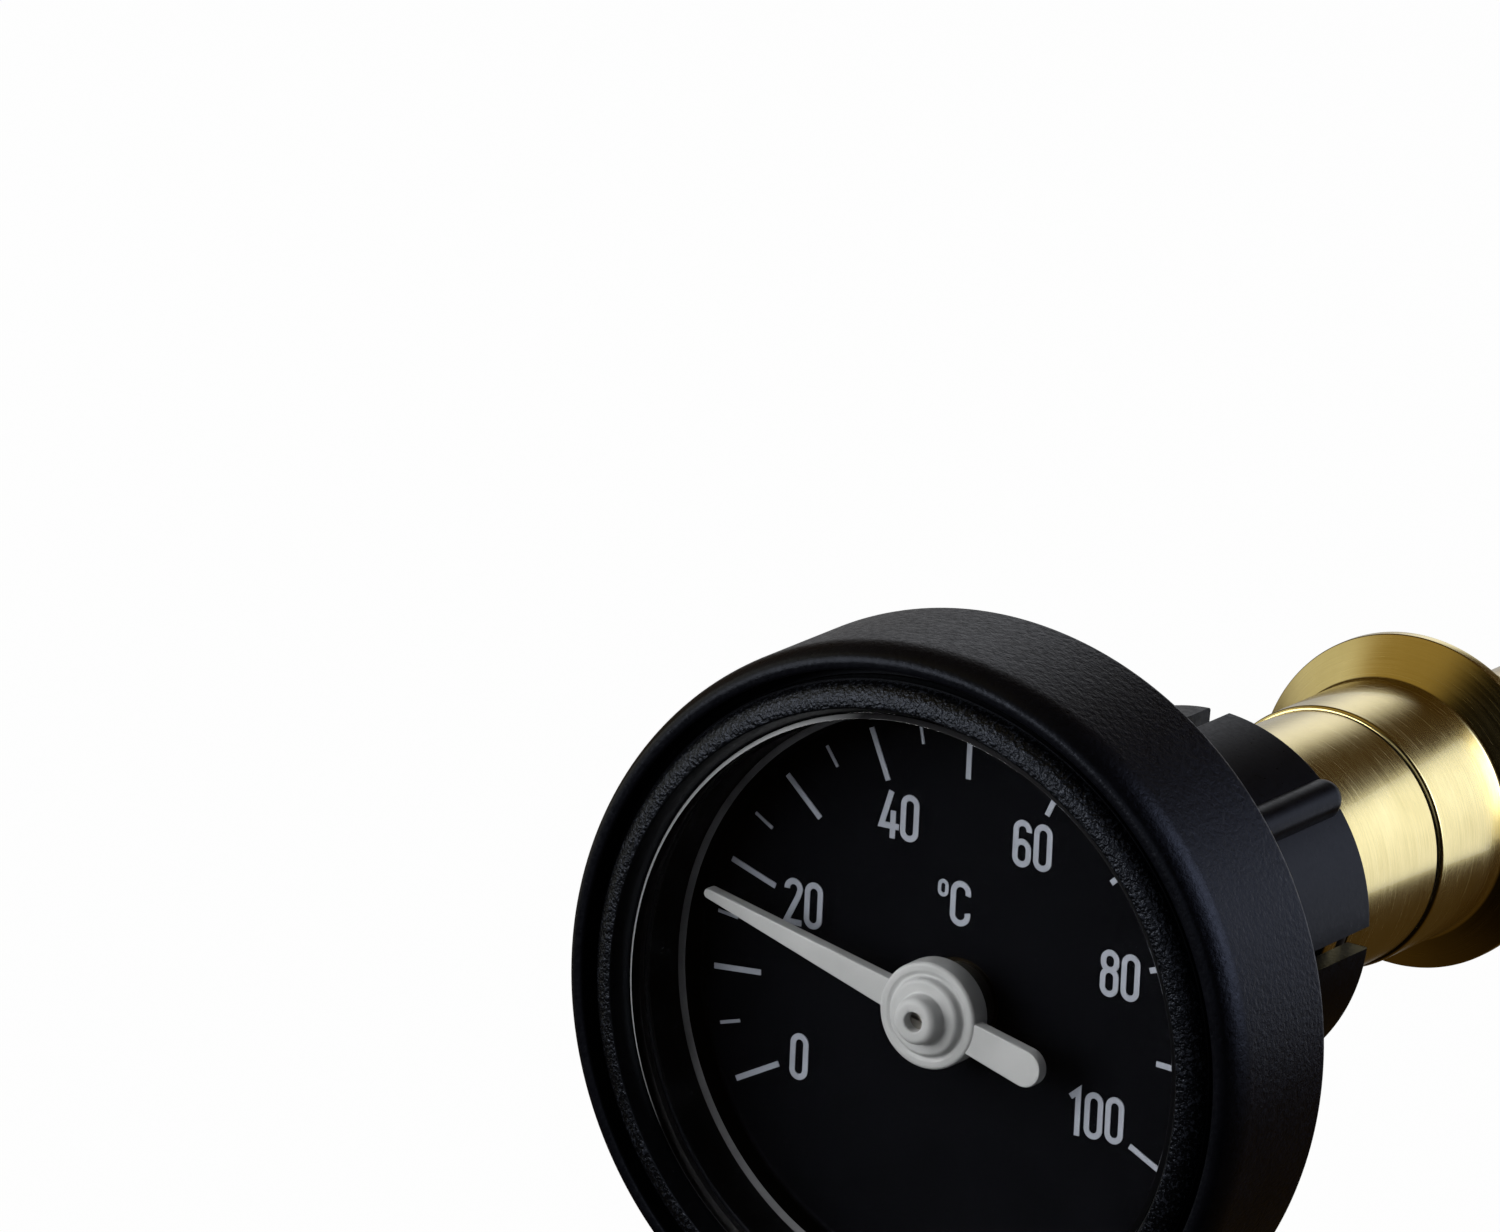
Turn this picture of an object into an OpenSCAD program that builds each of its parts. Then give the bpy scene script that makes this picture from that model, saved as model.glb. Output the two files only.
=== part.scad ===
// Dial thermometer: a black plug-in head on a brass immersion sleeve.
// Millimetres. The instrument's axis is Y: the dial looks along -Y and +Z is up.
// The origin lies on the axis, in the plane where the sealing washer meets the pipe boss.
// Heights along the axis are measured from that plane out towards the dial.

/* [Dial] */
// Outer diameter of the dished dial
dial_d = 40.4; // [37:0.2:44]
// Thickness of the dial sheet
dial_t = 0.5; // [0.4:0.05:0.7]
// Height of the dial's turned-up rim above its face
dial_rim_h = 2.15; // [1.6:0.05:3.4]
// Thickness of the turned-up rim
dial_rim_t = 0.45; // [0.35:0.05:0.9]
// Height of the bevel on that rim
dial_bevel_h = 0.2; // [0.1:0.05:0.6]
// Space between the dial's back and the case floor
dial_gap = 1; // [1:0.05:2]
// Bare margin between the dial's rim and the scale
scale_margin = 1.05; // [0.4:0.05:2]
// Angle that the scale covers
scale_sweep = 235; // [180:1:270]
// Highest temperature on the scale, in degrees
scale_max = 100; // [60:20:100]
// Length of a long tick
major_len = 3.6; // [2.5:0.05:4.5]
// Width of a long tick
major_w = 0.38; // [0.25:0.01:0.6]
// Length of a short tick
minor_len = 1.55; // [1:0.05:2.5]
// Width of a short tick
minor_w = 0.24; // [0.15:0.01:0.4]
// Height of the numerals
digit_h = 3.17; // [2.4:0.01:3.4]
// Width of one numeral
digit_w = 1.39; // [1.2:0.01:1.5]
// Stroke of the numerals
digit_stroke = 0.4; // [0.3:0.01:0.45]
// Space between two numerals
digit_gap = 0.18; // [0.1:0.01:0.4]
// Space between a long tick and its numerals
numeral_gap = 0.4; // [0.1:0.05:0.8]
// Height of the unit sign above the dial's centre
unit_rise = 6.67; // [5.8:0.01:7]
// Thickness of the printed ink
ink_t = 0.06; // [0.04:0.01:0.1]

/* [Pointer] */
// Temperature that the pointer shows
reading = 18.4; // [0:0.1:60]
// Reach of the pointer's tip from the axis
pointer_len = 18.1; // [15:0.1:18.3]
// Reach of the pointer's tail from the axis
tail_len = 8.9; // [6:0.1:11]
// Width of the blade at the hub
blade_root_w = 2.1; // [1.6:0.05:2.6]
// Width of the blade at its tip
blade_tip_w = 0.7; // [0.4:0.05:1]
// Width of the tail at the hub
tail_root_w = 2.2; // [1.5:0.05:2.6]
// Width of the tail at its round end
tail_end_w = 2.55; // [1.8:0.05:3]
// Thickness of the blade
blade_t = 1; // [0.7:0.05:1.1]
// Height of the blade's underside above the dial
blade_rise = 2.8; // [2:0.05:3]
// Diameter of the hub disc
hub_d = 7.2; // [6.8:0.1:9]
// Thickness of the hub disc
hub_t = 1.8; // [1.4:0.05:2]
// Diameter of the hub's raised ring
hub_ring_d = 5.2; // [4.8:0.1:5.6]
// Height of the raised ring above the hub disc
hub_ring_h = 0.5; // [0.3:0.05:0.7]
// Diameter of the hub's boss
hub_boss_d = 3.2; // [3:0.1:4.2]
// Height of the boss above the raised ring
hub_boss_h = 1.2; // [0.8:0.05:1.2]

/* [Lens and bezel] */
// Space between the dial's face and the lens
lens_gap = 6.2; // [5.6:0.1:7]
// Thickness of the lens flange
lens_flange_t = 1.3; // [1:0.05:2]
// Height of the window above the lens flange
lens_raise = 0.55; // [0.3:0.05:0.8]
// Bevel round the window
lens_bevel = 0.28; // [0.1:0.02:0.3]
// Width of the ledge that the lens sits on
lens_seat_w = 1.6; // [1.3:0.05:2.2]
// Thickness of the lens gasket
gasket_t = 0.5; // [0.3:0.05:0.8]
// Radial thickness of the bezel's foot
bezel_w = 1.25; // [1:0.05:1.8]
// Overlap of the bezel's lip on the lens flange
bezel_lip = 1; // [0.9:0.05:1.2]
// Height of the bezel's crest above the lens flange
bezel_h = 1.7; // [1.2:0.05:2.2]
// Height of the bezel's outer edge above the lens flange
bezel_edge_h = 0.37; // [0.2:0.01:0.8]
// Run of the bezel's steep inner slope
bezel_slope_w = 0.65; // [0.4:0.05:0.8]

/* [Case] */
// Width of the groove between bezel and rim
rim_groove_w = 0.7; // [0.3:0.05:0.9]
// Depth of that groove below the bezel's outer edge
rim_groove_h = 1; // [0.6:0.05:1.2]
// Thickness of the case's rim beside the groove
rim_w = 1.6; // [1.5:0.05:2.4]
// Height of the rim's crest above the lens ledge
rim_h = 3.1; // [2.6:0.05:3.4]
// Radius of the gentle curve from the case's side to the rim
rim_side_r = 4; // [3:0.1:5]
// Angle that the gentle curve turns through
rim_turn = 30; // [20:1:40]
// Radius of the rim's nose
rim_nose_r = 0.8; // [0.5:0.05:0.85]
// Rounding of the case's rear edge
back_edge = 0.6; // [0.3:0.05:1.2]
// Thickness of the case's back
case_back_t = 1.6; // [1.4:0.05:3]
// Width of the ledge that carries the dial
dial_ledge_w = 2.6; // [1.5:0.1:4]
// Length of the boss on the case's back
boss_len = 9.4; // [8.4:0.1:10]
// Wall of that boss
boss_wall = 1.8; // [1.6:0.05:2.2]

/* [Clip collar] */
// Outer diameter of the collar
collar_d = 25.6; // [25:0.1:27]
// Wall of the collar
collar_wall = 1.6; // [1.3:0.05:1.8]
// Length of the collar
collar_len = 27.2; // [26:0.1:30]
// Number of fingers
finger_count = 4; // [3:1:6]
// Width of the slots between the fingers
slot_w = 1.54; // [1:0.02:2.5]
// Length of the slots
slot_len = 13.6; // [9:0.1:14]
// Diameter of the half-round ribs
rib_d = 2.7; // [2:0.1:3]
// Angle of the first slot below the horizontal
collar_turn = 2.4; // [0:0.1:45]
// Depth of the snap groove in the boss
snap_depth = 0.8; // [0.5:0.05:1]
// Width of the snap bead in the collar
snap_w = 1.4; // [1:0.1:2]
// Distance of the snap bead from the boss's end
snap_rise = 3.2; // [2:0.1:4]

/* [Plug] */
// Outer diameter of the spigot that enters the sleeve
spigot_d = 12.84; // [12.4:0.02:13.4]
// Length of the spigot inside the sleeve
spigot_len = 6; // [5:0.1:8]
// Thickness of the web that holds the spigot in the collar
web_t = 3.4; // [2:0.1:3.6]
// Space between the collar's end and the sleeve's mouth
plug_gap = 1.6; // [0.5:0.1:3]
// Section diameter of the spigot's O-ring
seal_section = 1.2; // [1:0.05:1.4]

/* [Stem and movement] */
// Outer diameter of the stem tube
stem_d = 9; // [8:0.1:9.4]
// Wall of the stem tube
stem_wall = 0.4; // [0.3:0.05:0.6]
// Thickness of the tip plug's cap
tip_t = 1.3; // [1:0.1:2]
// Diameter of the stem fitting's flange
fitting_flange_d = 15; // [14:0.5:18]
// Thickness of that flange
fitting_flange_t = 0.9; // [0.6:0.05:0.95]
// Diameter of the stem fitting's shank
fitting_d = 10.6; // [10.4:0.1:11]
// Length of the shank behind the case floor
fitting_len = 8.4; // [7:0.1:8.4]
// Width across the flats of the stem nut
nut_flats = 14; // [13.5:0.5:15]
// Thickness of the stem nut
nut_t = 3; // [2:0.1:4]
// Thickness of the washer under the nut
nut_washer_t = 0.5; // [0.3:0.1:0.8]
// Diameter of the spindle
spindle_d = 1.5; // [1.2:0.05:1.6]
// Outer diameter of the front bush
bush_d = 4; // [3.4:0.1:4.6]
// Length of the front bush
bush_len = 4.4; // [3:0.1:4.6]
// Length of the rear guide bush
guide_len = 3; // [2:0.1:5]
// Length of the spindle from the dial's face to the guide bush's far end
spindle_reach = 66; // [64:0.1:69]
// Diameter of the arbor that drives the coil's moving end
arbor_d = 4.6; // [4:0.1:5]
// Length of the arbor and of the coil's fixed post
arbor_len = 2.4; // [2:0.1:3]
// Width of the bimetal strip
strip_w = 1.4; // [1:0.05:1.6]
// Thickness of the bimetal strip
strip_t = 0.3; // [0.2:0.02:0.4]
// Pitch of the bimetal coil
coil_pitch = 2.2; // [2.1:0.05:2.6]

/* [Sleeve] */
// Diameter of the sleeve's neck
neck_d = 17.8; // [17.2:0.1:18.2]
// Length of the neck
neck_len = 14.2; // [13:0.1:18]
// Distance from the mouth to the O-ring groove
ring_inset = 1.7; // [1.2:0.1:3]
// Section diameter of the neck's O-ring
ring_section = 1.3; // [1:0.05:1.5]
// Diameter of the base's plain part
base_d = 18.3; // [17.8:0.1:19]
// Length of the base's plain part
base_len = 8.75; // [6:0.05:12]
// Diameter of the flared rim
flare_d = 23.4; // [22:0.1:26]
// Thickness of the flared rim's edge
flare_lip = 0.8; // [0.5:0.05:2]
// Width of the joint line between neck and base
joint_gap = 0.14; // [0.1:0.02:0.4]
// Depth of that joint line
joint_depth = 0.9; // [0.3:0.05:1.2]
// Chamfer on both sides of the joint line
joint_edge = 0.12; // [0.05:0.01:0.3]
// Diameter of the base's spigot inside the neck
base_spigot_d = 14; // [13.6:0.1:14.6]
// Length of that spigot
base_spigot_len = 3.4; // [2:0.1:4.5]
// Thickness of the sealing washer
washer_t = 1.5; // [1:0.1:3]
// Distance of the washer's edge from the flared rim
washer_inset = 1.2; // [0.3:0.1:1.6]
// Major diameter of the thread, G 3/8
thread_d = 16.662; // [16.4:0.001:16.9]
// Pitch of the thread
thread_pitch = 1.337; // [1.2:0.001:1.4]
// Depth of the thread
thread_depth = 0.856; // [0.6:0.001:0.95]
// Number of thread turns
thread_turns = 4; // [3:1:9]
// Outer diameter of the pocket tube
pocket_d = 11.8; // [11.2:0.1:12.4]
// Depth of the pocket's tip below the sealing face
immersion = 40; // [38:0.5:48]
// Thickness of the pocket's closed end
pocket_end_t = 1.2; // [0.8:0.1:2]
// Height of the pocket tube's upper end above the sealing face
pocket_rise = 5.2; // [3:0.1:7]

/* [Clearances] */
// Gap between pieces that are pushed together
fit_gap = 0.05; // [0.02:0.01:0.08]
// Radial clearance of a running fit
run_gap = 0.05; // [0.02:0.01:0.08]
// Radial clearance of the sliding and swivelling plug
slide_gap = 0.08; // [0.04:0.01:0.1]
// Free gap between pieces that move past each other
free_gap = 0.3; // [0.2:0.05:0.5]

/* [Hidden] */
$fn = 96;
through = 1;
arc_steps = 10;

// Heights along the axis, from the sealing face out to the dial
lip_s = washer_t + flare_lip;
flare_s = lip_s + (flare_d - base_d) / 2;
joint_s = flare_s + base_len;
mouth_s = joint_s + neck_len;
collar_s = mouth_s + plug_gap;
collar_top_s = collar_s + collar_len;
back_s = collar_top_s + free_gap;
floor_s = back_s + case_back_t;
dial_back_s = floor_s + dial_gap;
dial_s = dial_back_s + dial_t;
lens_s = dial_s + lens_gap;
seat_s = lens_s - gasket_t;
flange_s = lens_s + lens_flange_t;
window_s = flange_s + lens_raise;
bezel_edge_s = flange_s + bezel_edge_h;
bezel_top_s = flange_s + bezel_h;
rim_top_s = seat_s + rim_h;
groove_s = bezel_edge_s - rim_groove_h;
boss_end_s = back_s - boss_len;
web_top_s = boss_end_s - free_gap;
web_s = web_top_s - web_t;
spigot_end_s = mouth_s - spigot_len;
fitting_end_s = floor_s - fitting_len;
bush_end_s = dial_back_s - bush_len;
spindle_end_s = dial_s - spindle_reach - arbor_len - free_gap;
guide_end_s = dial_s - spindle_reach;
arbor_end_s = spindle_end_s;
pocket_tip_s = -immersion;
stem_tip_s = pocket_tip_s + pocket_end_t + free_gap;
post_s = stem_tip_s + tip_t + arbor_len;
thread_end_s = -thread_pitch * (thread_turns + 1);
pocket_top_s = pocket_rise;

// Radii, from the dial out to the case's wall
dial_r = dial_d / 2;
dial_inner_r = dial_r - dial_rim_t;
bore_r = dial_r + fit_gap;
lens_r = bore_r + lens_seat_w;
pocket_r = lens_r + fit_gap;
bezel_r = pocket_r + bezel_w;
rim_r = bezel_r + rim_groove_w;
case_r = rim_r + rim_w;
lip_r = lens_r - bezel_lip;
window_r = lip_r - fit_gap * 2;
crest_r = lip_r + bezel_slope_w;
scale_r = dial_inner_r - scale_margin;
major_r = scale_r - major_len;
minor_r = scale_r - minor_len;

// Radii of the stem, the plug and the sleeve
stem_r = stem_d / 2;
stem_bore_r = stem_r - stem_wall;
guide_r = stem_r + slide_gap;
spindle_r = spindle_d / 2;
journal_r = spindle_r + run_gap;
bush_r = bush_d / 2;
bush_flange_r = bush_r + 0.6;
bush_flange_t = 0.4;
dial_hole_r = bush_flange_r + 0.4;
collar_r = collar_d / 2;
collar_in_r = collar_r - collar_wall;
boss_r = collar_in_r - slide_gap;
boss_in_r = boss_r - boss_wall;
snap_r = boss_r - snap_depth;
snap_s = boss_end_s + snap_rise;
spigot_r = spigot_d / 2;
mouth_r = spigot_r + slide_gap;
seal_seat_r = mouth_r - seal_section + slide_gap;
seal_s = spigot_end_s + 2;
neck_r = neck_d / 2;
base_r = base_d / 2;
flare_r = flare_d / 2;
ring_seat_r = neck_r - ring_section + 0.1;
ring_top_s = mouth_s - ring_inset;
ring_low_s = ring_top_s - ring_section - 0.1;
thread_r = thread_d / 2;
root_r = thread_r - thread_depth;
pocket_out_r = pocket_d / 2;
arbor_r = arbor_d / 2;
washer_in_r = thread_r + 0.17;
washer_out_r = flare_r - washer_inset;

// The pointer's levels above the dial
blade_s = dial_s + blade_rise;
hub_top_s = blade_s + blade_t + 0.1;
hub_s = hub_top_s - hub_t;
ring_s = hub_top_s + hub_ring_h;
boss_s = ring_s + hub_boss_h;
spindle_top_s = boss_s - 0.8;
pointer_angle = 90 + scale_sweep / 2 - reading * scale_sweep / scale_max;

// The coil winds from the arbor down to the fixed post, with a small gap to both
coil_r = arbor_r + fit_gap + strip_t / 2;
coil_top_s = arbor_end_s + arbor_len / 2;
coil_low_s = post_s - arbor_len / 2;
coil_turns = (coil_top_s - coil_low_s) / coil_pitch;
coil_rings = ceil(coil_turns * 24);

module on_axis() { rotate([90, 0, 0]) children(); }
module lathe(points) { on_axis() rotate_extrude() polygon(points); }
module ring(inner, outer, low, high) {
  lathe([[inner, low], [outer, low], [outer, high], [inner, high]]);
}
module torus(mid_r, section, s) {
  on_axis() rotate_extrude() translate([mid_r, s]) circle(section / 2);
}

// Points on a quarter of an ellipse, about a centre, from one angle to another
function arc(mid, wide, high, from, to) =
  [for (i = [0:arc_steps]) let (a = from + (to - from) * i / arc_steps)
    [mid[0] + wide * cos(a), mid[1] + high * sin(a)]];

// The case, a cup with a rounded rim, a lens ledge, a dial ledge and a boss on its back
module case() {
  turned = [cos(rim_turn), sin(rim_turn)];
  nose_mid = [case_r - rim_side_r + (rim_side_r - rim_nose_r) * turned[0], rim_top_s - rim_nose_r];
  side_mid = nose_mid - (rim_side_r - rim_nose_r) * turned;
  inner_w = nose_mid[0] - rim_r;
  color("#25262b")
  lathe(concat(
    [[fitting_d / 2 + fit_gap, back_s], [boss_in_r, back_s], [boss_in_r, boss_end_s], [boss_r, boss_end_s]],
    [[boss_r, snap_s - free_gap], [snap_r, snap_s - free_gap]],
    [[snap_r, snap_s + snap_w + free_gap], [boss_r, snap_s + snap_w + free_gap], [boss_r, back_s]],
    arc([case_r - back_edge, back_s + back_edge], back_edge, back_edge, -90, 0),
    arc(side_mid, rim_side_r, rim_side_r, 0, rim_turn),
    arc(nose_mid, rim_nose_r, rim_nose_r, rim_turn + 10, 90),
    arc([rim_r + inner_w, rim_top_s - inner_w], inner_w, inner_w, 100, 180),
    [[rim_r, groove_s], [bezel_r + fit_gap, groove_s], [bezel_r + fit_gap, seat_s], [bore_r, seat_s]],
    [[bore_r, dial_back_s], [bore_r - dial_ledge_w, dial_back_s], [bore_r - dial_ledge_w, floor_s]],
    [[fitting_d / 2 + fit_gap, floor_s]]));
}

// The bezel, pushed into the case over the lens: a convex outer face and a steep inner slope
module bezel_ring() {
  face_mid = [crest_r, bezel_edge_s];
  color("#2b2c31")
  lathe(concat(
    [[pocket_r, seat_s], [bezel_r, seat_s]],
    arc(face_mid, bezel_r - crest_r, bezel_h - bezel_edge_h, 0, 90),
    [[lip_r, flange_s + bezel_edge_h], [lip_r, flange_s], [pocket_r, flange_s]]));
}

// The lens, with a raised and bevelled window that stands in the bezel's lip
module lens() {
  color("#dfe8ee", 0.35)
  lathe([[0, lens_s], [lens_r, lens_s], [lens_r, flange_s], [window_r, flange_s],
    [window_r, window_s - lens_bevel], [window_r - lens_bevel, window_s], [0, window_s]]);
}

module lens_gasket() {
  color("#1a1a1c") ring(bore_r + free_gap, lens_r, seat_s, lens_s);
}

// The dial, a sheet dish whose bevelled rim shows bare metal
module dial() {
  color("#2a2b30")
  lathe([[dial_hole_r, dial_back_s], [dial_r, dial_back_s], [dial_r, dial_s + dial_rim_h],
    [dial_inner_r, dial_s + dial_rim_h - dial_bevel_h], [dial_inner_r, dial_s], [dial_hole_r, dial_s]]);
}

// Flat shapes of the print, each centred on its own middle
module pill(w, h) {
  square([w, h - w], center = true);
  for (side = [-1, 1]) translate([0, side * (h - w) / 2]) circle(w / 2);
}
module loop(w, h, stroke) {
  difference() {
    pill(w, h);
    pill(w - 2 * stroke, h - 2 * stroke);
  }
}
module bar(from, to, w) {
  run = to - from;
  translate((from + to) / 2) rotate(atan2(run[1], run[0])) square([norm(run), w], center = true);
}
module digit(n) {
  w = digit_w;
  h = digit_h;
  t = digit_stroke;
  half = w / 2 - t / 2;
  low = -h / 2 + t / 2;
  cap_s = (h - w) / 2;
  if (n == 0) loop(w, h, t);
  if (n == 1) {
    bar([half - t / 2, -h / 2], [half - t / 2, h / 2], t);
    bar([half - t / 2, h / 2 - t / 2], [-half + t / 2, h / 2 - t * 1.5], t);
  }
  if (n == 2) {
    intersection() {
      loop(w, h, t);
      translate([0, cap_s + h / 2]) square([w, h], center = true);
    }
    translate([-half, cap_s - t / 8]) square([t, t / 4], center = true);
    translate([half, cap_s - t / 2]) square([t, t], center = true);
    bar([half, cap_s - t / 2], [-half, low], t);
    bar([-w / 2, low], [w / 2, low], t);
  }
  if (n == 4) {
    bar([t / 4, h / 2], [-half, low + t * 1.6], t);
    bar([-w / 2, low + t * 1.6], [w / 2 + t / 4, low + t * 1.6], t);
    bar([half - t / 2, h / 8], [half - t / 2, -h / 2], t);
  }
  if (n == 6) {
    translate([0, -h / 2 + h * 0.3]) loop(w, h * 0.6, t);
    intersection() {
      loop(w, h, t);
      union() {
        translate([-w / 2, 0]) square([w, h], center = true);
        translate([0, cap_s + h / 2 - t / 2]) square([w, h], center = true);
      }
    }
  }
  if (n == 8) {
    translate([0, h * 0.235]) loop(w, h * 0.53, t);
    translate([0, -h * 0.235]) loop(w, h * 0.53, t);
  }
}

// The digits of a number, and the width of the whole
function digits(n) = n < 10 ? [n] : n < 100 ? [floor(n / 10), n % 10] : [1, floor(n / 10) % 10, n % 10];
function number_w(n) = len(digits(n)) * (digit_w + digit_gap) - digit_gap;
module number(n) {
  for (i = [0:len(digits(n)) - 1])
    translate([(digit_w - number_w(n)) / 2 + i * (digit_w + digit_gap), 0]) digit(digits(n)[i]);
}
module unit_sign() {
  w = digit_w * 1.1;
  opening = digit_h * 0.3;
  difference() {
    loop(w, digit_h, digit_stroke);
    translate([w / 2, 0]) square([w, opening], center = true);
  }
  translate([-w / 2 - digit_gap - digit_w * 0.28, digit_h * 0.26])
    loop(digit_w * 0.56, digit_h * 0.36, digit_stroke * 0.65);
}

// The direction of a temperature on the scale, as x to the right and y up
function scale_dir(t) = let (a = -scale_sweep / 2 + t * scale_sweep / scale_max) [sin(a), cos(a)];
function numeral_r(t) = let (d = scale_dir(t))
  major_r - numeral_gap - abs(d[0]) * number_w(t) / 2 - abs(d[1]) * digit_h / 2;
module dial_scale() {
  color("#c9ced8")
  on_axis() translate([0, 0, dial_s]) linear_extrude(ink_t) {
    for (t = [0:10:scale_max]) bar(major_r * scale_dir(t), scale_r * scale_dir(t), major_w);
    for (t = [5:10:scale_max]) bar(minor_r * scale_dir(t), scale_r * scale_dir(t), minor_w);
    for (t = [0:20:scale_max]) translate(numeral_r(t) * scale_dir(t)) number(t);
    translate([0, unit_rise]) unit_sign();
  }
}

// The pointer: a blade and a round-ended tail on a stepped hub
module pointer() {
  tip = pointer_len - blade_tip_w / 2;
  end = tail_len - tail_end_w / 2;
  dip = 0.15;
  soft = 0.5;
  root = hub_d / 3;
  color("#e9e9e6") {
    difference() {
      union() {
        lathe(concat(
          [[0, hub_s], [hub_d / 2, hub_s]],
          arc([hub_d / 2 - soft, hub_top_s - soft], soft, soft, 0, 90),
          [[hub_ring_d / 2 + 2 * dip, hub_top_s], [hub_ring_d / 2, hub_top_s - dip]],
          arc([hub_ring_d / 2 - hub_ring_h, ring_s - hub_ring_h], hub_ring_h, hub_ring_h, 0, 90),
          [[hub_boss_d / 2, ring_s]],
          arc([hub_boss_d / 2 - soft, boss_s - soft], soft, soft, 0, 90),
          [[0, boss_s]]));
        on_axis() translate([0, 0, blade_s]) rotate(pointer_angle) linear_extrude(blade_t) {
          polygon([[root, -blade_root_w / 2], [tip, -blade_tip_w / 2],
            [tip, blade_tip_w / 2], [root, blade_root_w / 2]]);
          translate([tip, 0]) circle(blade_tip_w / 2);
          polygon([[-root, -tail_root_w / 2], [-end, -tail_end_w / 2],
            [-end, tail_end_w / 2], [-root, tail_root_w / 2]]);
          translate([-end, 0]) circle(tail_end_w / 2);
        }
      }
      on_axis() translate([0, 0, hub_s - through])
        cylinder(r = spindle_r + fit_gap / 5, h = spindle_top_s - hub_s + through);
      on_axis() translate([0, 0, hub_s]) cylinder(r = spindle_r - 0.09, h = boss_s - hub_s + through);
    }
  }
}

// The spindle, with an adjusting slot in its front end
module spindle() {
  slot = spindle_d / 6;
  color("#8d8a82")
  difference() {
    on_axis() translate([0, 0, spindle_end_s]) cylinder(r = spindle_r, h = spindle_top_s - spindle_end_s);
    on_axis() translate([0, 0, spindle_top_s]) rotate(pointer_angle)
      cube([spindle_d + through, slot, slot * 3], center = true);
  }
}

// A collar on the spindle that runs on the front bush and keeps the pointer off the dial
module spindle_collar() {
  low = floor_s + fitting_flange_t + bush_flange_t + run_gap;
  color("#b89a55") ring(spindle_r + fit_gap / 5, bush_r - 0.2, low, hub_s - fit_gap);
}

// The bush that carries the spindle in the stem fitting
module front_bush() {
  flange_low = floor_s + fitting_flange_t;
  color("#b5832f")
  lathe([[journal_r, bush_end_s], [bush_r, bush_end_s], [bush_r, flange_low], [bush_flange_r, flange_low],
    [bush_flange_r, flange_low + bush_flange_t], [journal_r, flange_low + bush_flange_t]]);
}

// The brass fitting through the case's back, which holds the stem tube
module stem_fitting() {
  seat = fitting_end_s + (bush_end_s - fitting_end_s) * 0.7;
  color("#c2a45c")
  lathe([[stem_r + fit_gap / 5, fitting_end_s], [fitting_d / 2, fitting_end_s], [fitting_d / 2, floor_s],
    [fitting_flange_d / 2, floor_s], [fitting_flange_d / 2, floor_s + fitting_flange_t],
    [bush_r + fit_gap / 5, floor_s + fitting_flange_t], [bush_r + fit_gap / 5, seat],
    [stem_r + fit_gap / 5, seat]]);
}

module nut_washer() {
  color("#c8c9cc")
  ring(fitting_d / 2 + fit_gap, nut_flats / 2 + 0.6, back_s - nut_washer_t, back_s);
}

module stem_nut() {
  top = back_s - nut_washer_t;
  color("#c2a45c")
  difference() {
    on_axis() translate([0, 0, top - nut_t]) cylinder(d = nut_flats / cos(30), h = nut_t, $fn = 6);
    on_axis() translate([0, 0, top - nut_t - through])
      cylinder(r = fitting_d / 2 + fit_gap, h = nut_t + 2 * through);
  }
}

// The thin stem tube that carries the coil down into the pocket
module stem_tube() {
  top = fitting_end_s + (bush_end_s - fitting_end_s) * 0.7 - fit_gap;
  color("#c9b27a") ring(stem_bore_r, stem_r, stem_tip_s + tip_t, top);
}

// The guide bush above the coil
module guide_bush() {
  color("#b5832f")
  ring(journal_r, stem_bore_r - fit_gap / 5, guide_end_s, guide_end_s + guide_len);
}

// The arbor on the spindle's end, to which the coil's moving end is welded
module coil_arbor() {
  color("#8d8a82") ring(spindle_r + fit_gap / 5, arbor_r, arbor_end_s, arbor_end_s + arbor_len);
}

// The bimetal coil, one strip wound on a helix
module bimetal_coil() {
  turns = [for (i = [0:coil_rings]) let (a = 360 * coil_turns * i / coil_rings,
      s = coil_top_s + (coil_low_s - coil_top_s) * i / coil_rings)
    for (p = [[-1, 1], [1, 1], [1, -1], [-1, -1]]) let (r = coil_r + p[0] * strip_t / 2)
      [r * cos(a), r * sin(a), s + p[1] * strip_w / 2]];
  sides = [for (i = [0:coil_rings - 1]) for (k = [0:3])
    let (a = 4 * i + k, b = 4 * i + (k + 1) % 4)
      for (f = [[a, b, b + 4], [a, b + 4, a + 4]]) f];
  last = 4 * coil_rings;
  ends = [[2, 1, 0], [3, 2, 0], [last, last + 1, last + 2], [last, last + 2, last + 3]];
  color("#a8926a") on_axis() polyhedron(turns, concat(sides, ends));
}
echo(least_gap_between_coil_turns = coil_pitch - strip_w);

// The plug that closes the stem tube and holds the coil's fixed end on a post
module tip_plug() {
  color("#c2a45c")
  lathe([[0, stem_tip_s], [stem_r - 0.6, stem_tip_s], [stem_r, stem_tip_s + 0.6],
    [stem_r, stem_tip_s + tip_t], [arbor_r, stem_tip_s + tip_t], [arbor_r, post_s], [0, post_s]]);
}

// A round bar with one round end, turned in one piece
module rib(length) {
  rotate_extrude() intersection() {
    union() {
      translate([0, rib_d / 2]) circle(rib_d / 2);
      translate([0, rib_d / 2]) square([rib_d / 2, length - rib_d / 2]);
    }
    square([rib_d, length]);
  }
}

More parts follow.
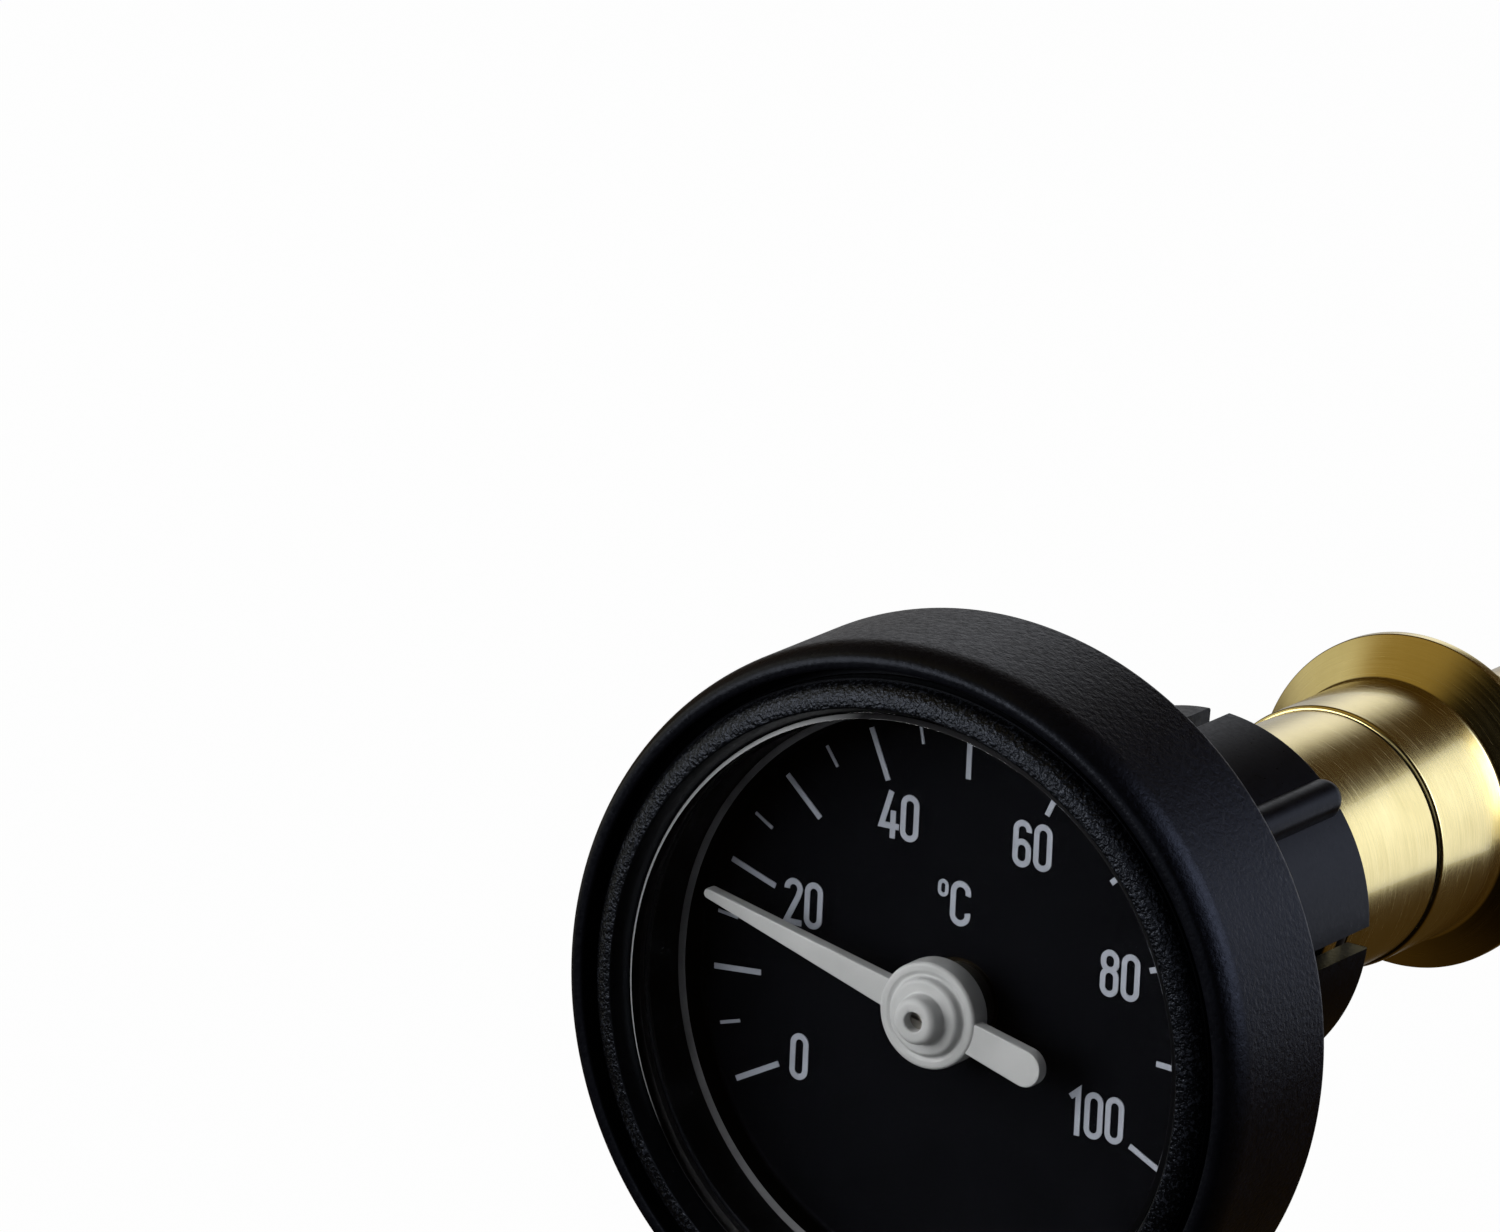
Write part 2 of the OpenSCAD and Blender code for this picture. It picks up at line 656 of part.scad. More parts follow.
// The clip collar: a tube slotted into fingers, each with a half-round rib and a round rib end
module clip_collar() {
  chamfer = 0.25;
  rib_mid = collar_r - fit_gap;
  rib_inset = 0.15;
  rib_stop = 0.4;
  bead_r = snap_r + free_gap;
  color("#212227")
  difference() {
    union() {
      lathe([[collar_in_r, collar_s], [collar_r - chamfer, collar_s], [collar_r, collar_s + chamfer],
        [collar_r, collar_top_s], [collar_in_r, collar_top_s],
        [collar_in_r, snap_s + snap_w], [bead_r, snap_s + snap_w], [bead_r, snap_s], [collar_in_r, snap_s]]);
      for (i = [0:finger_count - 1]) on_axis()
        rotate((i + 0.5) * 360 / finger_count - collar_turn) translate([rib_mid, 0, collar_s + rib_inset])
          rib(collar_len - rib_inset - rib_stop);
    }
    on_axis() for (i = [0:finger_count - 1]) rotate(i * 360 / finger_count - collar_turn)
      translate([collar_in_r - through, -slot_w / 2, collar_s - through])
        cube([collar_wall + 2 * through, slot_w, slot_len + through]);
  }
}

// The plug bush: a web in the collar and a spigot that enters the sleeve's mouth
module plug_bush() {
  lead = 0.4;
  color("#1d1e22")
  lathe([[guide_r, spigot_end_s], [spigot_r - lead, spigot_end_s], [spigot_r, spigot_end_s + lead],
    [spigot_r, seal_s], [seal_seat_r, seal_s], [seal_seat_r, seal_s + seal_section + fit_gap * 2],
    [spigot_r, seal_s + seal_section + fit_gap * 2], [spigot_r, web_s],
    [collar_in_r - fit_gap, web_s], [collar_in_r - fit_gap, web_top_s], [guide_r, web_top_s]]);
}

module spigot_oring() {
  section = seal_section - slide_gap - fit_gap;
  color("#161617") torus(seal_seat_r + fit_gap / 2 + section / 2, section, seal_s + seal_section / 2 + fit_gap);
}

// The brass neck, with a mouth for the spigot and a groove for its O-ring
module sleeve_neck() {
  edge = 0.3;
  seat_r = base_spigot_d / 2 + fit_gap / 5;
  seat_end_s = joint_s + base_spigot_len + fit_gap;
  color("#cdb06a")
  lathe([[seat_r, joint_s], [neck_r - joint_edge, joint_s], [neck_r, joint_s + joint_edge],
    [neck_r, ring_low_s], [ring_seat_r, ring_low_s], [ring_seat_r, ring_top_s], [neck_r, ring_top_s],
    [neck_r, mouth_s - edge], [neck_r - edge, mouth_s], [mouth_r + edge, mouth_s], [mouth_r, mouth_s - edge],
    [mouth_r, spigot_end_s - free_gap], [guide_r, spigot_end_s - free_gap],
    [guide_r, seat_end_s], [seat_r, seat_end_s]]);
}

module neck_oring() {
  section = ring_section;
  color("#161617") torus(ring_seat_r + fit_gap / 2 + section / 2, section, (ring_low_s + ring_top_s) / 2);
}

// The brass base: a thread, a sealing shoulder, a flare and a spigot under the neck
function thread_profile() = [for (i = [0:thread_turns - 1]) let (s = thread_end_s + thread_pitch * (i + 1))
  for (p = [[thread_r, -0.6], [root_r, -0.4], [root_r, -0.2], [thread_r, 0]]) [p[0], s + p[1] * thread_pitch]];
module sleeve_base() {
  top_s = joint_s - joint_gap;
  color("#c8aa62")
  lathe(concat(
    [[pocket_out_r + fit_gap / 5, thread_end_s], [root_r, thread_end_s],
      [thread_r, thread_end_s + thread_pitch * 0.3]],
    thread_profile(),
    [[thread_r, 0], [root_r, thread_depth], [root_r, washer_t], [flare_r, washer_t],
      [flare_r, lip_s], [base_r, flare_s], [base_r, top_s - joint_edge], [base_r - joint_edge, top_s],
      [neck_r - joint_depth, top_s], [neck_r - joint_depth, joint_s], [base_spigot_d / 2, joint_s],
      [base_spigot_d / 2, joint_s + base_spigot_len], [guide_r, joint_s + base_spigot_len],
      [guide_r, pocket_top_s], [pocket_out_r + fit_gap / 5, pocket_top_s]]));
}

// The pocket tube, closed at its tip, soldered into the base
module pocket_tube() {
  round_r = pocket_out_r - guide_r + 0.8;
  inner_s = pocket_tip_s + pocket_end_t;
  color("#c9ab63")
  lathe(concat(
    [[0, pocket_tip_s]],
    arc([pocket_out_r - round_r, pocket_tip_s + round_r], round_r, round_r, -90, 0),
    [[pocket_out_r, pocket_top_s - fit_gap], [guide_r, pocket_top_s - fit_gap], [guide_r, inner_s], [0, inner_s]]));
}

module sealing_washer() {
  color("#8a3f2c") ring(washer_in_r, washer_out_r, 0, washer_t);
}

case();
bezel_ring();
lens();
lens_gasket();
dial();
dial_scale();
pointer();
spindle();
spindle_collar();
front_bush();
stem_fitting();
stem_nut();
nut_washer();
stem_tube();
guide_bush();
coil_arbor();
bimetal_coil();
tip_plug();
clip_collar();
plug_bush();
spigot_oring();
sleeve_neck();
neck_oring();
sleeve_base();
pocket_tube();
sealing_washer();
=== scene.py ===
"""Looks for the dial thermometer: moulded black plastic, a printed dial and lathe-turned brass.

Blender works in metres and the profiles are in millimetres. A profile point is (radius, height), where the
height s is measured along the axis from the sealing face out to the dial, so it lies at y = -s.
"""

import math

import bmesh
import bpy
from mathutils import Matrix, Vector


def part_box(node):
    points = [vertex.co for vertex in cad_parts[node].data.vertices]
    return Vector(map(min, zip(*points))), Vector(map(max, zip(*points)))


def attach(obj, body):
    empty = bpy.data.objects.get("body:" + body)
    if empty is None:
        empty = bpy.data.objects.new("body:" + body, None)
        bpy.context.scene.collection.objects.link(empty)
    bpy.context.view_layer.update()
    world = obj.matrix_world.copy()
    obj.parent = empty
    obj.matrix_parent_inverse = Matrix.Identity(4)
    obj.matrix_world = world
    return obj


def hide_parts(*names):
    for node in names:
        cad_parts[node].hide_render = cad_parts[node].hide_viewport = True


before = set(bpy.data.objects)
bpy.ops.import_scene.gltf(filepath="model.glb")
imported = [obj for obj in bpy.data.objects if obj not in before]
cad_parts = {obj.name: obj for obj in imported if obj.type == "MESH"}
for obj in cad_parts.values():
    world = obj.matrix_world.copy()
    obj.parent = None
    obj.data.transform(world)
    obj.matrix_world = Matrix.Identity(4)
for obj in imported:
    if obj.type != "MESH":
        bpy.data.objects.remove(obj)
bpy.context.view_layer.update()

MM = 0.001
COARSE = 96
MEDIUM = 128
FINE = 192
FINEST = 256
SHARP = math.radians(34)
WELD = 1e-7
SLIVER = 1e-8
ON_AXIS = 1e-6


# Sizes that come from the frame


def heights(node):
    """Heights of a node's far and near ends above the sealing face, in mm."""
    low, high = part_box(node)
    return -high.y / MM, -low.y / MM


def radius(node):
    """Reach of a round node from the axis, in mm."""
    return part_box(node)[1].x / MM


BOSS_END, RIM_TOP = heights("case")
CASE_R = radius("case")
SEAT, BEZEL_TOP = heights("bezel_ring")
BEZEL_R = radius("bezel_ring")
LENS_BACK, WINDOW_TOP = heights("lens")
LENS_R = radius("lens")
DIAL_BACK, DIAL_RIM = heights("dial")
DIAL_R = radius("dial")
DIAL_FACE, INK_TOP = heights("dial_scale")
COLLAR_END, COLLAR_TOP = heights("clip_collar")
SPIGOT_END, WEB_TOP = heights("plug_bush")
WEB_R = radius("plug_bush")
JOINT, MOUTH = heights("sleeve_neck")
NECK_R = radius("sleeve_neck")
THREAD_END, BASE_TOP = heights("sleeve_base")
FLARE_R = radius("sleeve_base")
POCKET_TIP, POCKET_TOP = heights("pocket_tube")
POCKET_R = radius("pocket_tube")
STEM_LOW, STEM_TOP = heights("stem_tube")
STEM_R = radius("stem_tube")
HUB_LOW, HUB_TOP = heights("pointer")
WASHER_T = heights("sealing_washer")[1]


# Mesh tools


def arc(mid, wide, high, start, end, steps=12):
    """Points on an ellipse about mid, from one angle to another, in degrees."""
    turns = [math.radians(start + (end - start) * i / steps) for i in range(steps + 1)]
    return [(mid[0] + wide * math.cos(a), mid[1] + high * math.sin(a)) for a in turns]


def rounded(corners, steps=6):
    """A closed outline whose corners (x, y, radius) are rounded; a corner without a radius stays sharp."""
    folded = 0.02
    straight = math.pi / 2 - 0.001
    side_share = 0.49
    outline = []
    for i, corner in enumerate(corners):
        here = Vector(corner[:2])
        before = Vector(corners[i - 1][:2]) - here
        after = Vector(corners[(i + 1) % len(corners)][:2]) - here
        size = corner[2] if len(corner) > 2 else 0
        half = before.angle(after, 0) / 2
        if size <= 0 or half < folded or half > straight:
            outline.append(tuple(here))
            continue
        reach = min(size / math.tan(half), side_share * before.length, side_share * after.length)
        size = reach * math.tan(half)
        start = here + before.normalized() * reach
        end = here + after.normalized() * reach
        mid = here + (before.normalized() + after.normalized()).normalized() * size / math.sin(half)
        turn = (start - mid).angle_signed(end - mid)
        for k in range(steps + 1):
            spoke = (start - mid).copy()
            spoke.rotate(Matrix.Rotation(-turn * k / steps, 2))
            outline.append(tuple(mid + spoke))
    return outline


def on_axis(r, turn, s):
    """The place in metres at radius r and height s, turned clockwise from the top as the dial is read."""
    return Vector((r * math.sin(turn), -s, r * math.cos(turn))) * MM


def settle(bm, name, body, nodes=(), smooth=True):
    """Turns a bmesh into a piece that rides on a body and stands for CAD nodes."""
    bmesh.ops.remove_doubles(bm, verts=bm.verts, dist=WELD)
    bmesh.ops.dissolve_degenerate(bm, edges=bm.edges, dist=SLIVER)
    bmesh.ops.recalc_face_normals(bm, faces=bm.faces)
    mesh = bpy.data.meshes.new(name)
    bm.to_mesh(mesh)
    bm.free()
    piece = bpy.data.objects.new(name, mesh)
    bpy.context.scene.collection.objects.link(piece)
    if smooth:
        mesh.shade_smooth()
        mesh.set_sharp_from_angle(angle=SHARP)
        normals = piece.modifiers.new("normals", "WEIGHTED_NORMAL")
        normals.keep_sharp = True
    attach(piece, body)
    if nodes:
        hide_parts(*nodes)
    return piece


def spin(bm, outline, segments=FINE):
    """Adds the closed outline, turned about the axis, to a bmesh."""
    rings = []
    for i in range(segments):
        turn = 2 * math.pi * i / segments
        rings.append([bm.verts.new(on_axis(r, turn, s)) for r, s in outline])
    for i, ring in enumerate(rings):
        following = rings[(i + 1) % segments]
        for k in range(len(outline)):
            n = (k + 1) % len(outline)
            if outline[k][0] > ON_AXIS or outline[n][0] > ON_AXIS:
                bm.faces.new((ring[k], ring[n], following[n], following[k]))


def turned(name, body, corners, nodes=(), segments=FINE):
    """A turned piece with rounded corners."""
    bm = bmesh.new()
    spin(bm, rounded(corners), segments)
    return settle(bm, name, body, nodes)


def skin(bm, rows):
    """Joins rows of points, each as long as the next, with faces."""
    made = [[bm.verts.new(p) for p in row] for row in rows]
    for low, high in zip(made, made[1:]):
        for k in range(len(low) - 1):
            bm.faces.new((low[k], low[k + 1], high[k + 1], high[k]))


# Materials

# Noise seldom leaves this range
NOISE_LOW = 0.3
NOISE_HIGH = 0.7
FINE_DETAIL = 3.0
GRAIN_ROUGH = 0.6


def add(tree, kind, **sockets):
    """A node with its inputs, by name or as i and a number, set to constants or wired to other outputs."""
    node = tree.nodes.new(kind)
    for key, value in sockets.items():
        numbered = key[0] == "i" and key[1:].isdigit()
        socket = node.inputs[int(key[1:]) if numbered else key.replace("_", " ")]
        if isinstance(value, bpy.types.NodeSocket):
            tree.links.new(value, socket)
        else:
            socket.default_value = value
    return node


def maths(tree, operation, first, second=0.0):
    node = add(tree, "ShaderNodeMath", i0=first, i1=second)
    node.operation = operation
    return node.outputs[0]


def material(name, colour, roughness, metallic=0.0, **sockets):
    """A Principled material. Returns it with its tree, its shader and the object coordinates."""
    made = bpy.data.materials.new(name)
    made.use_nodes = True
    tree = made.node_tree
    shader = tree.nodes["Principled BSDF"]
    shader.inputs["Base Color"].default_value = (*colour, 1)
    shader.inputs["Roughness"].default_value = roughness
    shader.inputs["Metallic"].default_value = metallic
    for key, value in sockets.items():
        shader.inputs[key.replace("_", " ")].default_value = value
    place = tree.nodes.new("ShaderNodeTexCoord").outputs["Object"]
    return made, tree, shader, place


def noise(tree, place, size, detail=2.0, rough=0.5):
    """Noise whose grains are about size mm across."""
    scale = 1 / (size * MM)
    return add(tree, "ShaderNodeTexNoise", Vector=place, Scale=scale, Detail=detail, Roughness=rough)


def tint(tree, shader, factor, dark, light):
    """Colours the surface between two tones by a factor."""
    tones = tree.nodes.new("ShaderNodeValToRGB")
    first, last = tones.color_ramp.elements
    first.position = NOISE_LOW
    last.position = NOISE_HIGH
    first.color = (*dark, 1)
    last.color = (*light, 1)
    tree.links.new(factor, tones.inputs[0])
    tree.links.new(tones.outputs[0], shader.inputs["Base Color"])


def uneven(tree, shader, factor, low, high):
    """Lets the roughness wander between two values."""
    span = add(tree, "ShaderNodeMapRange", Value=factor, To_Min=low, To_Max=high)
    span.inputs["From Min"].default_value = NOISE_LOW
    span.inputs["From Max"].default_value = NOISE_HIGH
    tree.links.new(span.outputs[0], shader.inputs["Roughness"])


def relief(tree, shader, factor, depth):
    """Raises the surface by a factor times depth mm."""
    bump = add(tree, "ShaderNodeBump", Strength=1.0, Distance=depth * MM, Height=factor)
    tree.links.new(bump.outputs[0], shader.inputs["Normal"])


def plastic(name, dark, light, roughness, grain, depth, **sockets):
    """Moulded plastic: a fine eroded grain, with tone and gloss that wander a little."""
    patch = 3.5
    swing = 0.07
    made, tree, shader, place = material(name, light, roughness, **sockets)
    patches = noise(tree, place, patch, FINE_DETAIL).outputs[0]
    grains = noise(tree, place, grain, FINE_DETAIL, GRAIN_ROUGH).outputs[0]
    tint(tree, shader, patches, dark, light)
    uneven(tree, shader, grains, roughness - swing, roughness + swing)
    relief(tree, shader, grains, depth)
    return made


def speckled(name, dark, light, roughness, grain, depth, **sockets):
    """Black plastic with a coarse spark-eroded grain, whose raised points are painted paler as sparkle
    highlights.
    """
    pits_end, points_full = 0.46, 0.72
    pit_dulling, point_shine = 0.08, 0.06
    made, tree, shader, place = material(name, light, roughness, **sockets)
    grains = noise(tree, place, grain, rough=GRAIN_ROUGH).outputs[0]
    points = add(tree, "ShaderNodeMapRange", Value=grains, From_Min=pits_end, From_Max=points_full)
    tint(tree, shader, points.outputs[0], dark, light)
    uneven(tree, shader, grains, roughness + pit_dulling, roughness - point_shine)
    relief(tree, shader, grains, depth)
    return made


def cut_edge():
    """The lens's cut bevel with a painted highlight: pale and frosted towards the upper left, clearer and
    darker on the far side.
    """
    clear, highlight_tone = (0.012, 0.012, 0.014), (0.86, 0.88, 0.90)
    highlight_lean = 0.45
    highlight_start = 0.42 * LENS_R * MM
    grain, depth = 0.2, 0.01
    made, tree, shader, place = material("lens_edge_highlight", (0.5, 0.5, 0.5), 0.5)
    axes = add(tree, "ShaderNodeSeparateXYZ", Vector=place).outputs
    across = maths(tree, "SUBTRACT", maths(tree, "MULTIPLY", axes["Z"], highlight_lean), axes["X"])
    highlight_share = add(tree, "ShaderNodeMapRange", Value=across, From_Min=highlight_start, From_Max=LENS_R * MM)
    tint(tree, shader, highlight_share.outputs[0], clear, highlight_tone)
    relief(tree, shader, noise(tree, place, grain).outputs[0], depth)
    return made


def lathe_lines(tree, place, width, streak):
    """Noise drawn out round the axis: lines width mm apart that last for streak mm."""
    axes = add(tree, "ShaderNodeSeparateXYZ", Vector=place).outputs
    squares = [maths(tree, "POWER", axes[name], 2.0) for name in ("X", "Z")]
    reach = maths(tree, "SQRT", maths(tree, "ADD", *squares))
    turn = maths(tree, "ARCTAN2", axes["X"], axes["Z"])
    around = maths(tree, "MULTIPLY", turn, NECK_R * MM * width / streak)
    spread = add(tree, "ShaderNodeCombineXYZ", X=reach, Y=axes["Y"], Z=around).outputs[0]
    line_rough = 0.65
    return noise(tree, spread, width, FINE_DETAIL, line_rough).outputs[0]


def brass(name, dark, light, roughness, width=0.09, streak=5.0, depth=0.004):
    """Turned brass with fine lathe lines and a faint tarnish."""
    line_share, stain_share = 0.45, 0.55
    stain_size, stain_detail = 5.0, 4.0
    shine, dulling = 0.04, 0.07
    made, tree, shader, place = material(name, light, roughness, 1.0, Anisotropic=0.45, Coat_Weight=0.4)
    lines = lathe_lines(tree, place, width, streak)
    stain = noise(tree, place, stain_size, stain_detail).outputs[0]
    drawn = maths(tree, "MULTIPLY", lines, line_share)
    mixed = maths(tree, "ADD", drawn, maths(tree, "MULTIPLY", stain, stain_share))
    tint(tree, shader, mixed, dark, light)
    uneven(tree, shader, lines, roughness - shine, roughness + dulling)
    relief(tree, shader, lines, depth)
    round_axis = tree.nodes.new("ShaderNodeTangent")
    round_axis.direction_type = "RADIAL"
    round_axis.axis = "Y"
    tree.links.new(round_axis.outputs[0], shader.inputs["Tangent"])
    return made


def metal(name, dark, light, roughness):
    """Plain machined or rolled metal."""
    grain, patch = 0.12, 2.0
    swing, depth = 0.08, 0.004
    made, tree, shader, place = material(name, light, roughness, 1.0)
    grains = noise(tree, place, grain, FINE_DETAIL, GRAIN_ROUGH).outputs[0]
    tint(tree, shader, noise(tree, place, patch, FINE_DETAIL).outputs[0], dark, light)
    uneven(tree, shader, grains, roughness - swing, roughness + swing)
    relief(tree, shader, grains, depth)
    return made


def clear_lens():
    """Clear moulded plastic with the faintest haze."""
    haze, haze_size = 0.012, 6.0
    made, tree, shader, place = material("lens_clear", (1, 1, 1), 0.0, Transmission_Weight=1.0, IOR=1.46)
    uneven(tree, shader, noise(tree, place, haze_size).outputs[0], 0.0, haze)
    return made


def dull(level):
    """The weak, bluish gloss of black moulded plastic."""
    return {"Specular_IOR_Level": level, "Specular_Tint": (0.74, 0.82, 1.0, 1)}


# Plastics: dark and light tone, roughness, size and depth of the grain in mm, gloss
case_black = plastic(
    "case_black", (0.0030, 0.0032, 0.0052), (0.0050, 0.0053, 0.0082), 0.36, 0.42, 0.060, **dull(0.12)
)
case_rim = plastic(
    "case_rim", (0.0026, 0.0027, 0.0042), (0.0040, 0.0042, 0.0064), 0.34, 0.34, 0.036, **dull(0.16)
)
# The pale raised grain points on the bezel are painted sparkle highlights
bezel_grain = speckled(
    "bezel_grain", (0.0022, 0.0023, 0.0030), (0.020, 0.0225, 0.030), 0.24, 0.27, 0.13, **dull(0.28)
)
bezel_smooth = plastic(
    "bezel_smooth", (0.0028, 0.0029, 0.0036), (0.0040, 0.0041, 0.0050), 0.34, 0.30, 0.006, **dull(0.2)
)
collar_black = plastic(
    "collar_black", (0.0026, 0.0028, 0.0044), (0.0042, 0.0044, 0.0066), 0.34, 0.35, 0.008, **dull(0.08)
)
dial_black = plastic(
    "dial_black", (0.0014, 0.0015, 0.0022), (0.0021, 0.0022, 0.0032), 0.60, 0.15, 0.003, **dull(0.05)
)
scale_ink = plastic("scale_ink", (0.34, 0.37, 0.43), (0.42, 0.45, 0.52), 0.55, 0.12, 0.006)
pointer_white = plastic("pointer_white", (0.44, 0.45, 0.45), (0.52, 0.53, 0.53), 0.46, 0.30, 0.012)
# The lens edge's pale upper-left side is a painted highlight
lens_edge_highlight = cut_edge()
seal_rubber = plastic("seal_rubber", (0.010, 0.010, 0.011), (0.014, 0.014, 0.015), 0.48, 0.20, 0.010)
washer_fibre = plastic("washer_fibre", (0.23, 0.055, 0.035), (0.33, 0.095, 0.06), 0.75, 0.16, 0.030)
sleeve_brass = brass("sleeve_brass", (0.66, 0.53, 0.20), (0.91, 0.76, 0.35), 0.21)
# Near-black brown painted into the joint groove between neck and base: painted shade that keeps light from
# glowing in the groove
joint_painted_shade = plastic("joint_painted_shade", (0.010, 0.007, 0.003), (0.020, 0.014, 0.007), 0.6, 0.2, 0.01)
tube_brass = brass("tube_brass", (0.72, 0.56, 0.28), (0.86, 0.71, 0.41), 0.24, 0.14, 9.0, 0.003)
# Brass painted near black: painted shade where the fitting shows through the dial hole under the hub
shade_darkened_brass = brass("shade_darkened_brass", (0.028, 0.021, 0.012), (0.055, 0.042, 0.024), 0.5)
bronze = metal("bronze", (0.33, 0.19, 0.08), (0.46, 0.29, 0.13), 0.45)
bare_sheet = plastic("bare_sheet", (0.105, 0.107, 0.115), (0.175, 0.178, 0.190), 0.65, 0.3, 0.02)
steel = metal("steel", (0.22, 0.21, 0.19), (0.33, 0.31, 0.28), 0.35)
dark_steel = metal("dark_steel", (0.045, 0.042, 0.038), (0.075, 0.070, 0.062), 0.45)
strip = metal("strip", (0.38, 0.31, 0.21), (0.52, 0.45, 0.33), 0.35)
lens_clear = clear_lens()


def paint(piece, *looks):
    piece.data.materials.clear()
    for look in looks:
        piece.data.materials.append(look)
    return piece


def paint_where(piece, look, test):
    """Gives a second material to the faces whose (radius, height) in mm pass a test."""
    piece.data.materials.append(look)
    second = len(piece.data.materials) - 1
    for face in piece.data.polygons:
        x, y, z = face.center / MM
        if test(math.hypot(x, z), -y):
            face.material_index = second
    return piece


# The case and what closes it

FIT = 0.05
SWIVEL_GAP = 0.3
CASE_BACK = COLLAR_TOP + SWIVEL_GAP
CASE_FLOOR = CASE_BACK + 1.6
STEM_HOLE = 5.35
SLIP = 0.01
PAINT_EDGE = 0.02
BOSS_R = WEB_R - 0.03
BOSS_BORE = BOSS_R - 1.8
SNAP_R = BOSS_R - 0.8
SNAP_LOW = BOSS_END + 2.9
SNAP_HIGH = SNAP_LOW + 2.0
RIM_R = BEZEL_R + 0.7
GROOVE = SEAT + 1.17
BORE_R = DIAL_R + FIT
LEDGE_R = BORE_R - 2.6
RIM_SIDE = 4.0
RIM_TURN = 30
RIM_NOSE = 0.8
RIM_START = RIM_TOP - 2.1
RECESS = 0.5


def make_case():
    recess_low = BOSS_R + 3.2
    recess_high = CASE_R - 2.2
    draft = 0.3
    turned_by = Vector((math.cos(math.radians(RIM_TURN)), math.sin(math.radians(RIM_TURN))))
    side_to_nose = (RIM_SIDE - RIM_NOSE) * turned_by
    nose = Vector((CASE_R - RIM_SIDE + side_to_nose.x, RIM_TOP - RIM_NOSE))
    side = nose - side_to_nose
    corners = [
        (STEM_HOLE, CASE_BACK),
        (BOSS_BORE, CASE_BACK, 0.3),
        (BOSS_BORE, BOSS_END),
        (BOSS_R, BOSS_END, 0.35),
        (BOSS_R, SNAP_LOW, 0.1),
        (SNAP_R, SNAP_LOW, 0.1),
        (SNAP_R, SNAP_HIGH, 0.1),
        (BOSS_R, SNAP_HIGH, 0.1),
        (BOSS_R, CASE_BACK, 0.3),
        (recess_low, CASE_BACK, 0.2),
        (recess_low + draft, CASE_BACK + RECESS, 0.2),
        (recess_high - draft, CASE_BACK + RECESS, 0.2),
        (recess_high, CASE_BACK, 0.2),
        (CASE_R, CASE_BACK, 0.6),
        *arc(side, RIM_SIDE, RIM_SIDE, 0, RIM_TURN, 16),
        *arc(nose, RIM_NOSE, RIM_NOSE, RIM_TURN + 5, 86, 14),
        (RIM_R, RIM_TOP - SLIP, 0.37),
        (RIM_R, GROOVE, 0.1),
        (BEZEL_R + FIT, GROOVE),
        (BEZEL_R + FIT, SEAT),
        (BORE_R, SEAT, 0.15),
        (BORE_R, DIAL_BACK),
        (LEDGE_R, DIAL_BACK, 0.1),
        (LEDGE_R, CASE_FLOOR, 0.2),
        (STEM_HOLE, CASE_FLOOR),
    ]
    bm = bmesh.new()
    spin(bm, rounded(corners), FINEST)
    case = settle(bm, "case_shell", "head", ["case"])
    paint(case, case_black)
    paint_where(case, case_rim, lambda r, s: s > RIM_START)
    return paint_where(case, bezel_smooth, lambda r, s: r < RIM_R + PAINT_EDGE and s > DIAL_BACK)


LENS_FLANGE = LENS_BACK + 1.3
LIP_R = LENS_R - 1.0
CREST_R = LIP_R + 0.65
BEZEL_EDGE = LENS_FLANGE + 0.37
POCKET_WALL = LENS_R + FIT


def make_bezel():
    edge = 0.12
    crest = 0.16
    slope = arc((CREST_R, BEZEL_EDGE), BEZEL_R - edge - CREST_R, BEZEL_TOP - BEZEL_EDGE, 0, 90, 20)
    outline = [(POCKET_WALL, SEAT), (BEZEL_R, SEAT), (BEZEL_R, BEZEL_EDGE - 0.5 * edge)]
    outline += [(BEZEL_R - 0.3 * edge, BEZEL_EDGE), *slope]
    outline += arc((CREST_R, BEZEL_TOP - crest), crest, crest, 100, 150, 4)
    outline += [(LIP_R + 0.1, LENS_FLANGE + 0.5), (LIP_R, LENS_FLANGE + 0.3), (LIP_R, LENS_FLANGE)]
    outline += [(POCKET_WALL, LENS_FLANGE)]
    bm = bmesh.new()
    spin(bm, outline, FINEST)
    bezel = settle(bm, "bezel_face", "head", ["bezel_ring"])
    paint(bezel, bezel_grain)
    return paint_where(bezel, bezel_smooth, lambda r, s: r < CREST_R - PAINT_EDGE or s < BEZEL_EDGE)


def make_lens():
    window_r = LIP_R - 2 * FIT
    bevel = 0.28
    corners = [
        (0, LENS_BACK),
        (LENS_R, LENS_BACK, 0.1),
        (LENS_R, LENS_FLANGE, 0.1),
        (window_r, LENS_FLANGE),
        (window_r, WINDOW_TOP - bevel, 0.06),
        (window_r - bevel, WINDOW_TOP, 0.06),
        (0, WINDOW_TOP),
    ]
    lens = turned("lens_window", "head", corners, ["lens"], FINEST)
    lens.visible_shadow = False
    paint(lens, lens_clear)
    bevel_start = WINDOW_TOP - bevel - PAINT_EDGE
    # The pale upper-left part of the bevel is a painted highlight
    return paint_where(lens, lens_edge_highlight, lambda r, s: r > window_r - bevel and s > bevel_start)


DIAL_WALL = DIAL_R - 0.45
DIAL_BEVEL = 0.2
DIAL_HOLE = 3.0


def make_dial():
    corners = [
        (DIAL_HOLE, DIAL_BACK),
        (DIAL_R, DIAL_BACK, 0.4),
        (DIAL_R, DIAL_RIM, 0.03),
        (DIAL_WALL, DIAL_RIM - DIAL_BEVEL, 0.03),
        (DIAL_WALL, DIAL_FACE, 0.35),
        (DIAL_HOLE, DIAL_FACE, 0.08),
    ]
    dial = turned("dial_dish", "head", corners, ["dial"], FINEST)
    paint(dial, dial_black)
    return paint_where(dial, bare_sheet, lambda r, s: s > DIAL_RIM - DIAL_BEVEL - PAINT_EDGE)


# The print on the dial

SCALE_R = DIAL_WALL - 1.05
SCALE_SWEEP = 235.0
SCALE_MAX = 100
TICK_STEP = 5
MAJOR_STEP = 10
NUMERAL_STEP = 20
